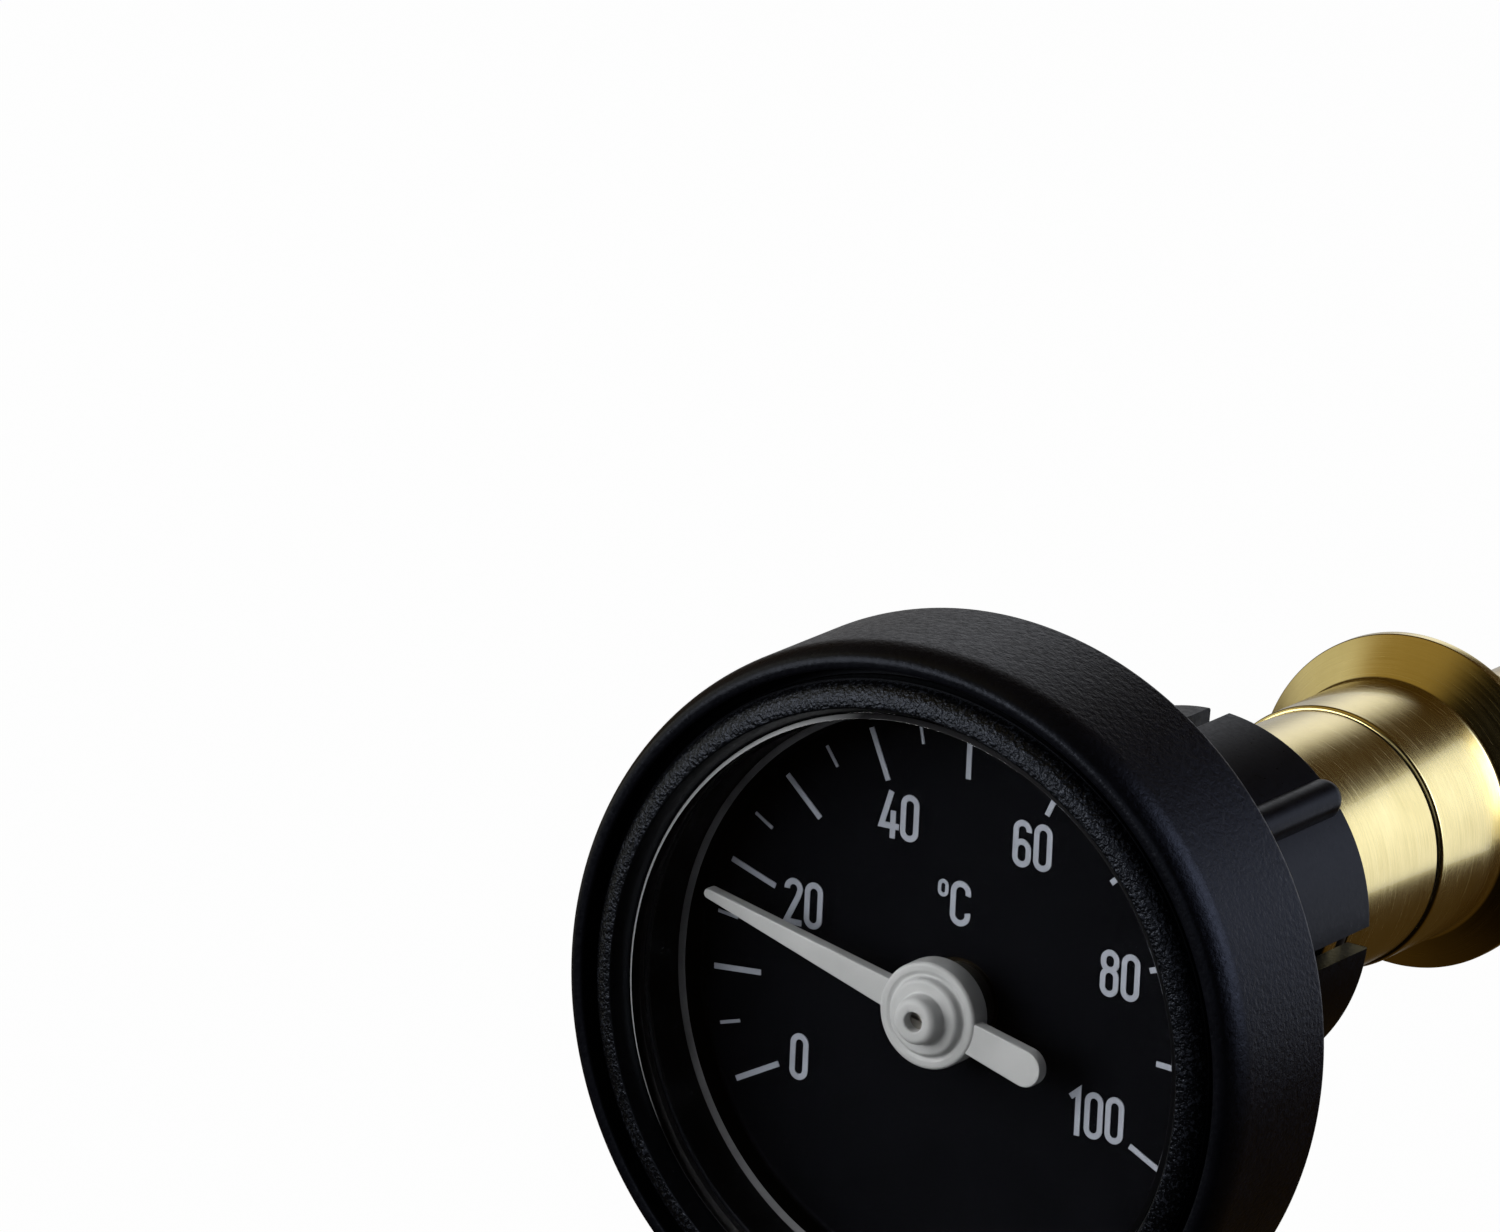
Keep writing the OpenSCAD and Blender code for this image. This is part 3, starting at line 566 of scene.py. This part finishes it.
# Length and width of the ticks
MAJOR = (3.6, 0.38)
MINOR = (1.55, 0.22)
DIGIT_W = 1.39
DIGIT_H = 3.17
STROKE = 0.40
DIGIT_GAP = 0.18
NUMERAL_GAP = 0.4
UNIT_RISE = 6.67
UNIT_SHIFT = -0.14
UNIT_W = 1.53
UNIT_H = 3.05
UNIT_OPENING = 18
DEGREE_W = 0.55
DEGREE_H = 0.92
DEGREE_STROKE = 0.25
DEGREE_SHIFT = -1.49
DEGREE_RISE = UNIT_RISE + 0.81
INK = INK_TOP - DIAL_FACE
# Each further stroke of a digit lies lower by this, so that no two faces coincide
INK_STEP = 0.004


def scale_way(value):
    """The direction of a temperature on the dial, as right and up."""
    turn = math.radians(SCALE_SWEEP * (value / SCALE_MAX - 0.5))
    return Vector((math.sin(turn), math.cos(turn)))


def stroke_sides(path, width, closed):
    """The left and right sides of a pen stroke along a path, mitred at its corners."""
    mitre_limit = 0.35
    left, right = [], []
    for i, point in enumerate(path):
        here = Vector(point)
        last = Vector(path[i - 1]) if closed or i else None
        following = Vector(path[(i + 1) % len(path)]) if closed or i + 1 < len(path) else None
        ways = []
        if last is not None:
            ways.append((here - last).normalized())
        if following is not None:
            ways.append((following - here).normalized())
        normals = [Vector((-w.y, w.x)) for w in ways]
        across = sum(normals, Vector((0, 0))).normalized()
        across *= width / 2 / max(mitre_limit, across.dot(normals[0]))
        left.append(here + across)
        right.append(here - across)
    return left, right


def draw(bm, path, width, at=(0, 0), closed=False, lift=0.0):
    """Adds a pen stroke to the print, as a thin closed slab on the dial."""
    left, right = stroke_sides(path, width, closed)
    levels = (DIAL_FACE, DIAL_FACE + INK - lift)
    rails = []
    for side, level in ((left, 1), (right, 1), (right, 0), (left, 0)):
        rails.append([bm.verts.new(Vector((p.x + at[0], -levels[level], p.y + at[1])) * MM) for p in side])
    count = len(path)
    for i in range(count if closed else count - 1):
        n = (i + 1) % count
        for a, b in ((0, 1), (1, 2), (2, 3), (3, 0)):
            bm.faces.new((rails[a][i], rails[a][n], rails[b][n], rails[b][i]))
    if not closed:
        bm.faces.new([rail[0] for rail in rails])
        bm.faces.new([rail[-1] for rail in reversed(rails)])


def pill(wide, high, mid=0.0):
    """The middle line of an upright rounded loop."""
    half = wide / 2
    rise = high / 2 - half
    return arc((0, mid + rise), half, half, 0, 180, 14) + arc((0, mid - rise), half, half, 180, 360, 14)


def digit_strokes(n):
    """The pen strokes of a digit about its middle, each as (path, closed)."""
    a = (DIGIT_W - STROKE) / 2
    b = (DIGIT_H - STROKE) / 2
    loop_h = DIGIT_H * 0.6 - STROKE
    if n == 0:
        return [(pill(2 * a, 2 * b), True)]
    if n == 1:
        return [([(-0.45 * a, b - 0.42), (0.75 * a, b + 0.08), (0.75 * a, -b - STROKE / 2)], False)]
    if n == 2:
        top = arc((0, b - a), a, a, 186, -20, 18)
        return [([*top, (0.72 * a, b - a - 0.52), (-a, -b), (a + STROKE / 2, -b)], False)]
    if n == 4:
        bar = -b + 0.62
        return [
            ([(0.12, b + STROKE / 2), (-a - 0.06, bar), (a + STROKE / 2 + 0.08, bar)], False),
            ([(0.62 * a, 0.28), (0.62 * a, -b - STROKE / 2)], False),
        ]
    if n == 6:
        hook = arc((0, b - a), a, a, -8, 180, 18)
        return [(pill(2 * a, loop_h, loop_h / 2 - b), True), ([*hook, (-a, loop_h / 2 - b)], False)]
    upper = DIGIT_H * 0.49 - STROKE
    lower = 2 * b - upper
    return [(pill(2 * a, upper, b - upper / 2), True), (pill(2 * a, lower, lower / 2 - b), True)]


def number_width(text):
    return len(text) * (DIGIT_W + DIGIT_GAP) - DIGIT_GAP


def draw_number(bm, text, at):
    for i, mark in enumerate(text):
        shift = (DIGIT_W - number_width(text)) / 2 + i * (DIGIT_W + DIGIT_GAP)
        for k, (path, closed) in enumerate(digit_strokes(int(mark))):
            draw(bm, path, STROKE, (at[0] + shift, at[1]), closed, INK_STEP * k)


def draw_unit(bm):
    """The degree sign and the C."""
    half = (UNIT_W - STROKE) / 2
    rise = (UNIT_H - STROKE) / 2 - half
    letter = arc((0, rise), half, half, -UNIT_OPENING, 180, 16)
    letter += arc((0, -rise), half, half, 180, 360 + UNIT_OPENING, 16)
    draw(bm, letter, STROKE, (UNIT_SHIFT, UNIT_RISE))
    draw(bm, pill(DEGREE_W, DEGREE_H), DEGREE_STROKE, (DEGREE_SHIFT, DEGREE_RISE), True)


def make_print():
    bm = bmesh.new()
    for value in range(0, SCALE_MAX + 1, TICK_STEP):
        length, width = MINOR if value % MAJOR_STEP else MAJOR
        way = scale_way(value)
        draw(bm, [way * (SCALE_R - length), way * SCALE_R], width)
    for value in range(0, SCALE_MAX + 1, NUMERAL_STEP):
        way = scale_way(value)
        reach = abs(way.x) * number_width(str(value)) / 2 + abs(way.y) * DIGIT_H / 2
        draw_number(bm, str(value), way * (SCALE_R - MAJOR[0] - NUMERAL_GAP - reach))
    draw_unit(bm)
    return paint(settle(bm, "scale_print", "head", ["dial_scale"], False), scale_ink)


# The pointer

READING = 18.4
POINTER_LEN = 18.1
TAIL_LEN = 8.9
BLADE_ROOT = 1.05
BLADE_TIP = 0.35
TAIL_ROOT = 1.1
TAIL_END = 1.275
BLADE_LOW = DIAL_FACE + 2.8
BLADE_TOP = BLADE_LOW + 1.0
HUB_R = 3.6
HUB_FACE = BLADE_TOP + 0.1
HUB_RING_R = 2.6
HUB_RING = HUB_FACE + 0.5
HUB_BOSS_R = 1.6
SPINDLE_R = 0.75
HOLE_R = 0.66
HOLE_FLOOR = HUB_TOP - 0.8


def blade_outline(inset):
    """The flat outline of blade and tail along x, drawn in by an inset."""
    tip_mid = POINTER_LEN - BLADE_TIP
    end_mid = TAIL_LEN - TAIL_END
    ends = arc((tip_mid, 0), BLADE_TIP - inset, BLADE_TIP - inset, -88, 88, 12)
    ends += [(HUB_RING_R, BLADE_ROOT - inset), (-HUB_RING_R, TAIL_ROOT - inset)]
    ends += arc((-end_mid, 0), TAIL_END - inset, TAIL_END - inset, 92, 268, 20)
    ends += [(-HUB_RING_R, inset - TAIL_ROOT), (HUB_RING_R, inset - BLADE_ROOT)]
    return ends


def make_pointer():
    soft = 0.16
    turn = math.radians(SCALE_SWEEP * (READING / SCALE_MAX - 0.5))
    bm = bmesh.new()
    levels = [(soft, BLADE_LOW), (0, BLADE_LOW + soft), (0, BLADE_TOP - soft)]
    levels += [(soft * 0.3, BLADE_TOP - soft * 0.3), (soft, BLADE_TOP)]
    loops = []
    for inset, s in levels:
        loop = []
        for along, across in blade_outline(inset):
            right = along * math.sin(turn) + across * math.cos(turn)
            up = along * math.cos(turn) - across * math.sin(turn)
            loop.append(bm.verts.new(Vector((right, -s, up)) * MM))
        loops.append(loop)
    for low, high in zip(loops, loops[1:]):
        for k in range(len(low)):
            n = (k + 1) % len(low)
            bm.faces.new((low[k], low[n], high[n], high[k]))
    bm.faces.new(loops[0])
    bm.faces.new(loops[-1])
    spin(bm, rounded([
        (SPINDLE_R + SLIP, HUB_LOW),
        (HUB_R, HUB_LOW, 0.2),
        (HUB_R, HUB_FACE, 0.55),
        (HUB_RING_R + 0.45, HUB_FACE + 0.02, 0.3),
        (HUB_RING_R + 0.1, HUB_FACE - 0.12, 0.15),
        (HUB_RING_R - 0.05, HUB_RING, 0.35),
        (HUB_BOSS_R + 0.06, HUB_RING + 0.04, 0.12),
        (HUB_BOSS_R - 0.06, HUB_TOP, 0.5),
        (HOLE_R, HUB_TOP, 0.12),
        (HOLE_R, HOLE_FLOOR),
        (SPINDLE_R + SLIP, HOLE_FLOOR),
    ]), COARSE)
    return paint(settle(bm, "pointer_body", "movement", ["pointer"]), pointer_white)


# The clip collar and its plug

COLLAR_R = 12.8
COLLAR_BORE = 11.2
FINGERS = 4
COLLAR_TURN = math.radians(2.4)
SLOT_HALF = 0.77
SLOT_END = COLLAR_END + 13.6
RIB_R = 1.35
RIB_MID = COLLAR_R - FIT
RIB_START = COLLAR_END + 0.15 + RIB_R
RIB_HALF = math.radians(7)
FLANK_STEPS = 18
CREST_STEPS = 16
END_SOFT = 0.22


def collar_reach(turn, s):
    """The collar's outer radius at an angle from a rib's middle and a height."""
    rise = min(s - COLLAR_END, END_SOFT)
    reach = COLLAR_R - END_SOFT + math.sqrt(max(0, END_SOFT**2 - (END_SOFT - rise) ** 2))
    bulge = RIB_R**2 - max(0, RIB_START - s) ** 2 - (RIB_MID * math.sin(turn)) ** 2
    if bulge > 0:
        reach = max(reach, RIB_MID * math.cos(turn) + math.sqrt(bulge))
    return reach


def finger_turns(limit):
    """Angles across a finger, from edge to edge, closer together over the rib."""
    flank = [RIB_HALF + (limit - RIB_HALF) * i / FLANK_STEPS for i in range(FLANK_STEPS + 1)]
    crest = [RIB_HALF * i / CREST_STEPS for i in range(1 - CREST_STEPS, CREST_STEPS)]
    return [-a for a in reversed(flank)] + crest + flank


def collar_block(bm, mid, levels, slotted):
    """One finger, or one quarter of the ring above the fingers, between the first and last level."""
    edge = math.pi / FINGERS
    outer_turns = finger_turns(edge - (math.asin(SLOT_HALF / COLLAR_R) if slotted else 0))
    inner_turns = finger_turns(edge - (math.asin(SLOT_HALF / COLLAR_BORE) if slotted else 0))
    outer = [[on_axis(collar_reach(t, s), mid + t, s) for t in outer_turns] for s in levels]
    inner = [[on_axis(COLLAR_BORE, mid + t, s) for t in inner_turns] for s in levels]
    skin(bm, outer)
    skin(bm, inner)
    skin(bm, [inner[0], outer[0]])
    skin(bm, [inner[-1], outer[-1]])
    if slotted:
        for side in (0, -1):
            skin(bm, [[row[side] for row in inner], [row[side] for row in outer]])


def make_collar():
    end_turn = 15
    rib_end, rib_step, rib_count = COLLAR_END + 0.3, 0.1, 13
    turns = [math.radians(end_turn * i) for i in range(90 // end_turn + 1)]
    soft = [COLLAR_END + END_SOFT * (1 - math.cos(turn)) for turn in turns]
    bulb = [rib_end + rib_step * i for i in range(rib_count)]
    finger_levels = [*soft, *bulb, RIB_START + rib_step, SLOT_END]
    bm = bmesh.new()
    for i in range(FINGERS):
        mid = COLLAR_TURN + math.pi / FINGERS * (2 * i + 1)
        collar_block(bm, mid, finger_levels, True)
        collar_block(bm, mid, [SLOT_END, COLLAR_TOP], False)
    collar = settle(bm, "collar_fingers", "collar", ["clip_collar"])
    return paint(collar, collar_black)


SPIGOT_R = 6.42
STEM_GUIDE = STEM_R + 0.08
WEB_LOW = WEB_TOP - 3.4
SEAL_LOW = SPIGOT_END + 2.0
SEAL_HIGH = SEAL_LOW + 1.3
SEAL_SEAT = 5.38


def make_plug():
    corners = [
        (STEM_GUIDE, SPIGOT_END, 0.1),
        (SPIGOT_R, SPIGOT_END, 0.5),
        (SPIGOT_R, SEAL_LOW, 0.08),
        (SEAL_SEAT, SEAL_LOW, 0.1),
        (SEAL_SEAT, SEAL_HIGH, 0.1),
        (SPIGOT_R, SEAL_HIGH, 0.08),
        (SPIGOT_R, WEB_LOW, 0.6),
        (WEB_R, WEB_LOW, 0.2),
        (WEB_R, WEB_TOP, 0.2),
        (STEM_GUIDE, WEB_TOP, 0.1),
    ]
    paint(turned("plug_body", "collar", corners, ["plug_bush"]), collar_black)


def make_rings():
    """The two O-rings, each as thick as its own node."""
    for node, body in (("spigot_oring", "collar"), ("neck_oring", "sleeve")):
        low, high = heights(node)
        half = (high - low) / 2
        outline = arc((radius(node) - half, low + half), half, half, 0, 330, 11)
        bm = bmesh.new()
        spin(bm, outline, MEDIUM)
        paint(settle(bm, node + "_round", body, [node]), seal_rubber)


# The brass sleeve

MOUTH_R = SPIGOT_R + 0.08
MOUTH_FLOOR = SPIGOT_END - 0.3
RING_HIGH = MOUTH - 1.7
RING_LOW = RING_HIGH - 1.4
RING_SEAT = NECK_R - 1.2
BASE_SPIGOT = 7.0
BASE_R = 9.15
JOINT_EDGE = 0.12
BASE_LIP = 0.35
BASE_EDGE = JOINT - 0.14
JOINT_FLOOR = NECK_R - 0.9
FLARE_EDGE = WASHER_T + 0.8
FLARE_TOP = FLARE_EDGE + FLARE_R - BASE_R
THREAD_R = 8.331
THREAD_DEPTH = 0.856
THREAD_ROOT = THREAD_R - THREAD_DEPTH
PITCH = 1.337
TURNS = 4


def make_neck():
    corners = [
        (BASE_SPIGOT + SLIP, JOINT),
        (NECK_R, JOINT, JOINT_EDGE),
        (NECK_R, RING_LOW, 0.12),
        (RING_SEAT, RING_LOW, 0.1),
        (RING_SEAT, RING_HIGH, 0.1),
        (NECK_R, RING_HIGH, 0.12),
        (NECK_R, MOUTH, 0.35),
        (MOUTH_R, MOUTH, 0.35),
        (MOUTH_R, MOUTH_FLOOR, 0.1),
        (STEM_GUIDE, MOUTH_FLOOR, 0.2),
        (STEM_GUIDE, BASE_TOP + FIT),
        (BASE_SPIGOT + SLIP, BASE_TOP + FIT),
    ]
    neck = turned("neck_turned", "sleeve", corners, ["sleeve_neck"], FINEST)
    paint(neck, sleeve_brass)
    # Painted shade in the joint groove at the neck's end
    paint_where(neck, joint_painted_shade, lambda r, s: s < JOINT + SLIP and r > BASE_SPIGOT + 0.1)


def thread_ridge(bm):
    """A helical ridge that grows out of the thread's root and back into it."""
    per_turn = 64
    least = 0.02
    sunk = THREAD_ROOT - 0.1
    # Half widths in pitches, from below the root up to the crest
    sunk_half, root_half, crest_half = 0.46, 0.42, 0.09
    full_turns = TURNS - 0.4
    start = THREAD_END + 0.45 * PITCH
    run_out = 0.3 * per_turn
    count = int(full_turns * per_turn)
    rows = []
    for i in range(count + 1):
        turn = 2 * math.pi * i / per_turn
        grown = min(1, i / run_out, (count - i) / run_out)
        crest = THREAD_ROOT + THREAD_DEPTH * max(least, grown)
        s = start + PITCH * i / per_turn
        section = [(sunk, -sunk_half), (THREAD_ROOT, -root_half), (crest, -crest_half)]
        section += [(crest, crest_half), (THREAD_ROOT, root_half), (sunk, sunk_half)]
        rows.append([on_axis(r, turn, s + PITCH * k) for r, k in section + section[:1]])
    skin(bm, rows)
    for row in (rows[0], rows[-1]):
        bm.faces.new([bm.verts.new(p) for p in row[:-1]])


def make_base():
    corners = [
        (POCKET_R + SLIP, THREAD_END),
        (THREAD_ROOT, THREAD_END, 0.3),
        (THREAD_ROOT, -0.75 * PITCH, 0.1),
        (THREAD_R, -0.5 * PITCH, 0.1),
        (THREAD_R, 0, 0.1),
        (THREAD_ROOT, THREAD_DEPTH, 0.2),
        (THREAD_ROOT, WASHER_T),
        (FLARE_R, WASHER_T, 0.12),
        (FLARE_R, FLARE_EDGE, 0.3),
        (BASE_R, FLARE_TOP, 0.7),
        (BASE_R, BASE_EDGE, BASE_LIP),
        (JOINT_FLOOR, BASE_EDGE),
        (JOINT_FLOOR, JOINT),
        (BASE_SPIGOT, JOINT),
        (BASE_SPIGOT, BASE_TOP, 0.2),
        (STEM_GUIDE, BASE_TOP),
        (STEM_GUIDE, POCKET_TOP),
        (POCKET_R + SLIP, POCKET_TOP),
    ]
    bm = bmesh.new()
    spin(bm, rounded(corners), FINEST)
    thread_ridge(bm)
    base = paint(settle(bm, "base_turned", "sleeve", ["sleeve_base"]), sleeve_brass)
    # Painted shade in the joint groove, short of the base's rounded lip
    shade_r = BASE_R - 0.25
    paint_where(base, joint_painted_shade, lambda r, s: BASE_EDGE - SLIP < s < JOINT + SLIP and r < shade_r)


def make_tubes():
    """The pocket, the stem and its tip, and the washer under the shoulder."""
    pocket_floor = POCKET_TIP + 1.2
    pocket = [
        (0, POCKET_TIP),
        (POCKET_R, POCKET_TIP, 2.0),
        (POCKET_R, POCKET_TOP - FIT),
        (STEM_GUIDE, POCKET_TOP - FIT),
        (STEM_GUIDE, pocket_floor, 0.6),
        (0, pocket_floor),
    ]
    paint(turned("pocket_drawn", "sleeve", pocket, ["pocket_tube"]), tube_brass)
    bore = STEM_R - 0.4
    stem = [(bore, STEM_LOW), (STEM_R, STEM_LOW, 0.05), (STEM_R, STEM_TOP, 0.1), (bore, STEM_TOP)]
    paint(turned("stem_drawn", "head", stem, ["stem_tube"]), tube_brass)
    tip_low, post_top = heights("tip_plug")
    post_r = 2.3
    tip = [
        (0, tip_low),
        (STEM_R, tip_low, 0.9),
        (STEM_R, STEM_LOW, 0.05),
        (post_r, STEM_LOW),
        (post_r, post_top, 0.2),
        (0, post_top),
    ]
    paint(turned("tip_turned", "head", tip, ["tip_plug"]), sleeve_brass)
    hole = THREAD_R + 0.17
    rim = radius("sealing_washer")
    washer = [(hole, 0, 0.1), (rim, 0, 0.25), (rim, WASHER_T, 0.25), (hole, WASHER_T, 0.1)]
    paint(turned("washer_pressed", "sleeve", washer, ["sealing_washer"]), washer_fibre)


INNER_LOOKS = {
    "lens_gasket": seal_rubber,
    "spindle": steel,
    "spindle_collar": dark_steel,
    "front_bush": dark_steel,
    # The stem fitting and its nut get the brass painted near black as shade
    "stem_fitting": shade_darkened_brass,
    "stem_nut": shade_darkened_brass,
    "nut_washer": steel,
    "guide_bush": bronze,
    "coil_arbor": steel,
    "bimetal_coil": strip,
}


def paint_inner_nodes():
    for node, look in INNER_LOOKS.items():
        paint(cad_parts[node], look)


# The studio

PHOTO_W = 1500
PHOTO_H = 1232
FOCAL_PX = 14000
SENSOR = 36.0
CLIP_END = 20
DISTANCE = 0.9076
AIM_PX = (958.7, 1001.2)
AIM_S = 60.6
BACK = Vector((0.5055, -0.8174, 0.2763))
RIGHT = Vector((0.8434, 0.5357, 0.0417))
UP = Vector((-0.1821, 0.2119, 0.9602))


def make_camera():
    """A long lens from the front right and above, with a point of the axis on its photo pixel."""
    data = bpy.data.cameras.new("camera")
    data.sensor_width = SENSOR
    data.lens = FOCAL_PX / PHOTO_W * SENSOR
    data.clip_end = CLIP_END
    camera = bpy.data.objects.new("camera", data)
    bpy.context.scene.collection.objects.link(camera)
    right = (AIM_PX[0] - PHOTO_W / 2) / FOCAL_PX * DISTANCE
    up = (PHOTO_H / 2 - AIM_PX[1]) / FOCAL_PX * DISTANCE
    aim = Vector((0, -AIM_S * MM, 0))
    turn = Matrix((RIGHT, UP, BACK)).transposed().to_4x4()
    camera.matrix_world = Matrix.Translation(aim - right * RIGHT - up * UP + DISTANCE * BACK) @ turn
    bpy.context.scene.camera = camera


LAMP_AIM = Vector((0, -0.04, 0))


def make_lamp(name, way, reach, size, power, colour=(1, 1, 1)):
    """A square softbox that faces the object from a direction."""
    data = bpy.data.lights.new(name, "AREA")
    data.size = size
    data.energy = power
    data.color = colour
    lamp = bpy.data.objects.new(name, data)
    bpy.context.scene.collection.objects.link(lamp)
    lamp.location = LAMP_AIM + Vector(way).normalized() * reach
    lamp.rotation_euler = Vector(way).to_track_quat("Z", "Y").to_euler()
    lamp.visible_camera = False
    return lamp


FLOOR_Z = -0.075
FLOOR_SIZE = 4.0
FLOOR_GREY = (0.5, 0.5, 0.5, 1)
# How far the camera sees the floor as plain white instead of as lit
FLOOR_WHITE = 0.985
WHITE = (1, 1, 1, 1)
BLACK = (0, 0, 0, 1)
EVEN = (0.06, 0.06, 0.06, 1)
DARK_ROOM = (0.046, 0.026, 0.006, 1)
# The dark room's own light grows from front to back: two depths and the level at each
ROOM_RISE = (-0.3, 0.5, 0.06, 1.0)
# Pale walls that gloss sees: soft edges round the axis in degrees, soft edges from front to back, light
WALLS = [
    ((-150, -105), (-46, -12), (0.70, 0.83), (1.5, 2.0), (0.42, 0.44, 0.47)),
    ((-84, -52), (-46, -12), (0.70, 0.83), (1.5, 2.0), (0.66, 0.68, 0.73)),
    ((25, 50), (74, 105), (0.28, 0.45), (0.62, 0.76), (3.2, 3.5, 4.6)),
    ((20, 52), (64, 108), (0.62, 0.76), (1.5, 2.0), (0.20, 0.23, 0.31)),
    ((-115, -85), (-60, -42), (-0.55, -0.2), (0.15, 0.4), (0.61, 0.60, 0.51)),
    ((-62, -42), (-12, 14), (-0.7, -0.4), (0.0, 0.3), (0.30, 0.22, 0.08)),
    ((-95, -70), (-35, -15), (-2.0, -1.5), (-0.85, -0.6), (0.20, 0.20, 0.21)),
    ((-10, 15), (60, 95), (-2.0, -1.5), (-0.85, -0.6), (0.48, 0.50, 0.55)),
]


def make_floor():
    """A pale floor that reflections do not see."""
    bpy.ops.mesh.primitive_plane_add(size=FLOOR_SIZE, location=(0, 0, FLOOR_Z))
    floor = bpy.context.object
    floor.name = "floor"
    look = bpy.data.materials.new("floor_white")
    look.use_nodes = True
    tree = look.node_tree
    tree.nodes.clear()
    plain = add(tree, "ShaderNodeBsdfDiffuse", Color=FLOOR_GREY)
    white = add(tree, "ShaderNodeEmission", Color=WHITE, Strength=1.0)
    seen = tree.nodes.new("ShaderNodeLightPath").outputs["Is Camera Ray"]
    mix = add(tree, "ShaderNodeMixShader", i0=maths(tree, "MULTIPLY", seen, FLOOR_WHITE))
    tree.links.new(plain.outputs[0], mix.inputs[1])
    tree.links.new(white.outputs[0], mix.inputs[2])
    out = tree.nodes.new("ShaderNodeOutputMaterial")
    tree.links.new(mix.outputs[0], out.inputs["Surface"])
    floor.data.materials.append(look)
    floor.visible_glossy = False
    floor.visible_transmission = False


def ramp(tree, value, low, high, start=0.0, end=1.0):
    """A smooth step from start to end as a value goes from low to high."""
    step = add(tree, "ShaderNodeMapRange", Value=value, From_Min=low, From_Max=high)
    step.inputs["To Min"].default_value = start
    step.inputs["To Max"].default_value = end
    step.interpolation_type = "SMOOTHSTEP"
    return step.outputs[0]


def band(tree, angle, rise, fall):
    """One between two soft edges, each given as the angles in degrees where it starts and ends."""
    up = ramp(tree, angle, math.radians(rise[0]), math.radians(rise[1]))
    down = ramp(tree, angle, math.radians(fall[0]), math.radians(fall[1]), 1.0, 0.0)
    return maths(tree, "MULTIPLY", up, down)


def blended(tree, factor, first, second, kind="MIX"):
    """Two colours mixed, or the second added to the first, by a factor."""
    node = add(tree, "ShaderNodeMix", i0=factor, i6=first, i7=second)
    node.data_type = "RGBA"
    node.blend_type = kind
    return node.outputs[2]


def make_world():
    """White to the camera and through the lens, even to diffuse rays, a dark room with walls to gloss."""
    world = bpy.data.worlds.new("studio")
    bpy.context.scene.world = world
    world.use_nodes = True
    tree = world.node_tree
    tree.nodes.clear()
    rays = tree.nodes.new("ShaderNodeLightPath").outputs
    place = tree.nodes.new("ShaderNodeTexCoord").outputs["Generated"]
    way = add(tree, "ShaderNodeSeparateXYZ", Vector=place).outputs
    lean = maths(tree, "ARCTAN2", way["X"], way["Z"])
    depth = way["Y"]
    walls = BLACK
    for rise, fall, near, far, light in WALLS:
        edge = band(tree, lean, rise, fall)
        reach = maths(tree, "MULTIPLY", ramp(tree, depth, *near), ramp(tree, depth, *far, 1.0, 0.0))
        walls = blended(tree, maths(tree, "MULTIPLY", edge, reach), walls, (*light, 1), "ADD")
    room_level = ramp(tree, depth, *ROOM_RISE)
    matt = maths(tree, "GREATER_THAN", rays["Diffuse Depth"], 0.5)
    glossy = maths(tree, "GREATER_THAN", rays["Glossy Depth"], 0.5)
    mirrored = maths(tree, "MULTIPLY", glossy, maths(tree, "SUBTRACT", 1.0, matt))
    bounced = maths(tree, "MAXIMUM", matt, glossy)
    through = maths(tree, "MULTIPLY", rays["Is Transmission Ray"], maths(tree, "SUBTRACT", 1.0, bounced))
    seen = maths(tree, "MAXIMUM", rays["Is Camera Ray"], through)
    lit_room = blended(tree, room_level, walls, DARK_ROOM, "ADD")
    unseen = blended(tree, mirrored, EVEN, lit_room)
    light = blended(tree, seen, unseen, WHITE)
    ground = add(tree, "ShaderNodeBackground", Color=light, Strength=1.0)
    out = tree.nodes.new("ShaderNodeOutputWorld")
    tree.links.new(ground.outputs[0], out.inputs["Surface"])


# Softboxes: name, direction, distance and size in metres, power in watts
FRONT_LAMPS = [
    ("key", (-0.64, -0.70, 0.32), 0.7, 0.42, 1.9),
    ("front", (-0.27, -0.90, 0.30), 0.7, 0.14, 0.62),
]
REAR_LAMPS = [
    ("left", (-0.60, 0.65, 0.40), 0.6, 0.25, 0.6),
    ("right", (0.60, 0.65, 0.35), 0.6, 0.25, 0.6),
]
# A small bluish card beside the brass, which only gloss sees
CARD = ("card", (0.041, 0.070, 0.007), 0.0815, 0.052, 0.0105, (0.80, 0.86, 1.0))


def make_studio():
    make_camera()
    make_floor()
    make_world()
    for lamp in FRONT_LAMPS:
        make_lamp(*lamp)
    for lamp in REAR_LAMPS:
        make_lamp(*lamp).visible_glossy = False
    make_lamp(*CARD).visible_diffuse = False
    bpy.context.scene.view_settings.view_transform = "Standard"


make_case()
make_bezel()
make_lens()
make_dial()
make_print()
make_pointer()
make_collar()
make_plug()
make_rings()
make_neck()
make_base()
make_tubes()
paint_inner_nodes()
make_studio()
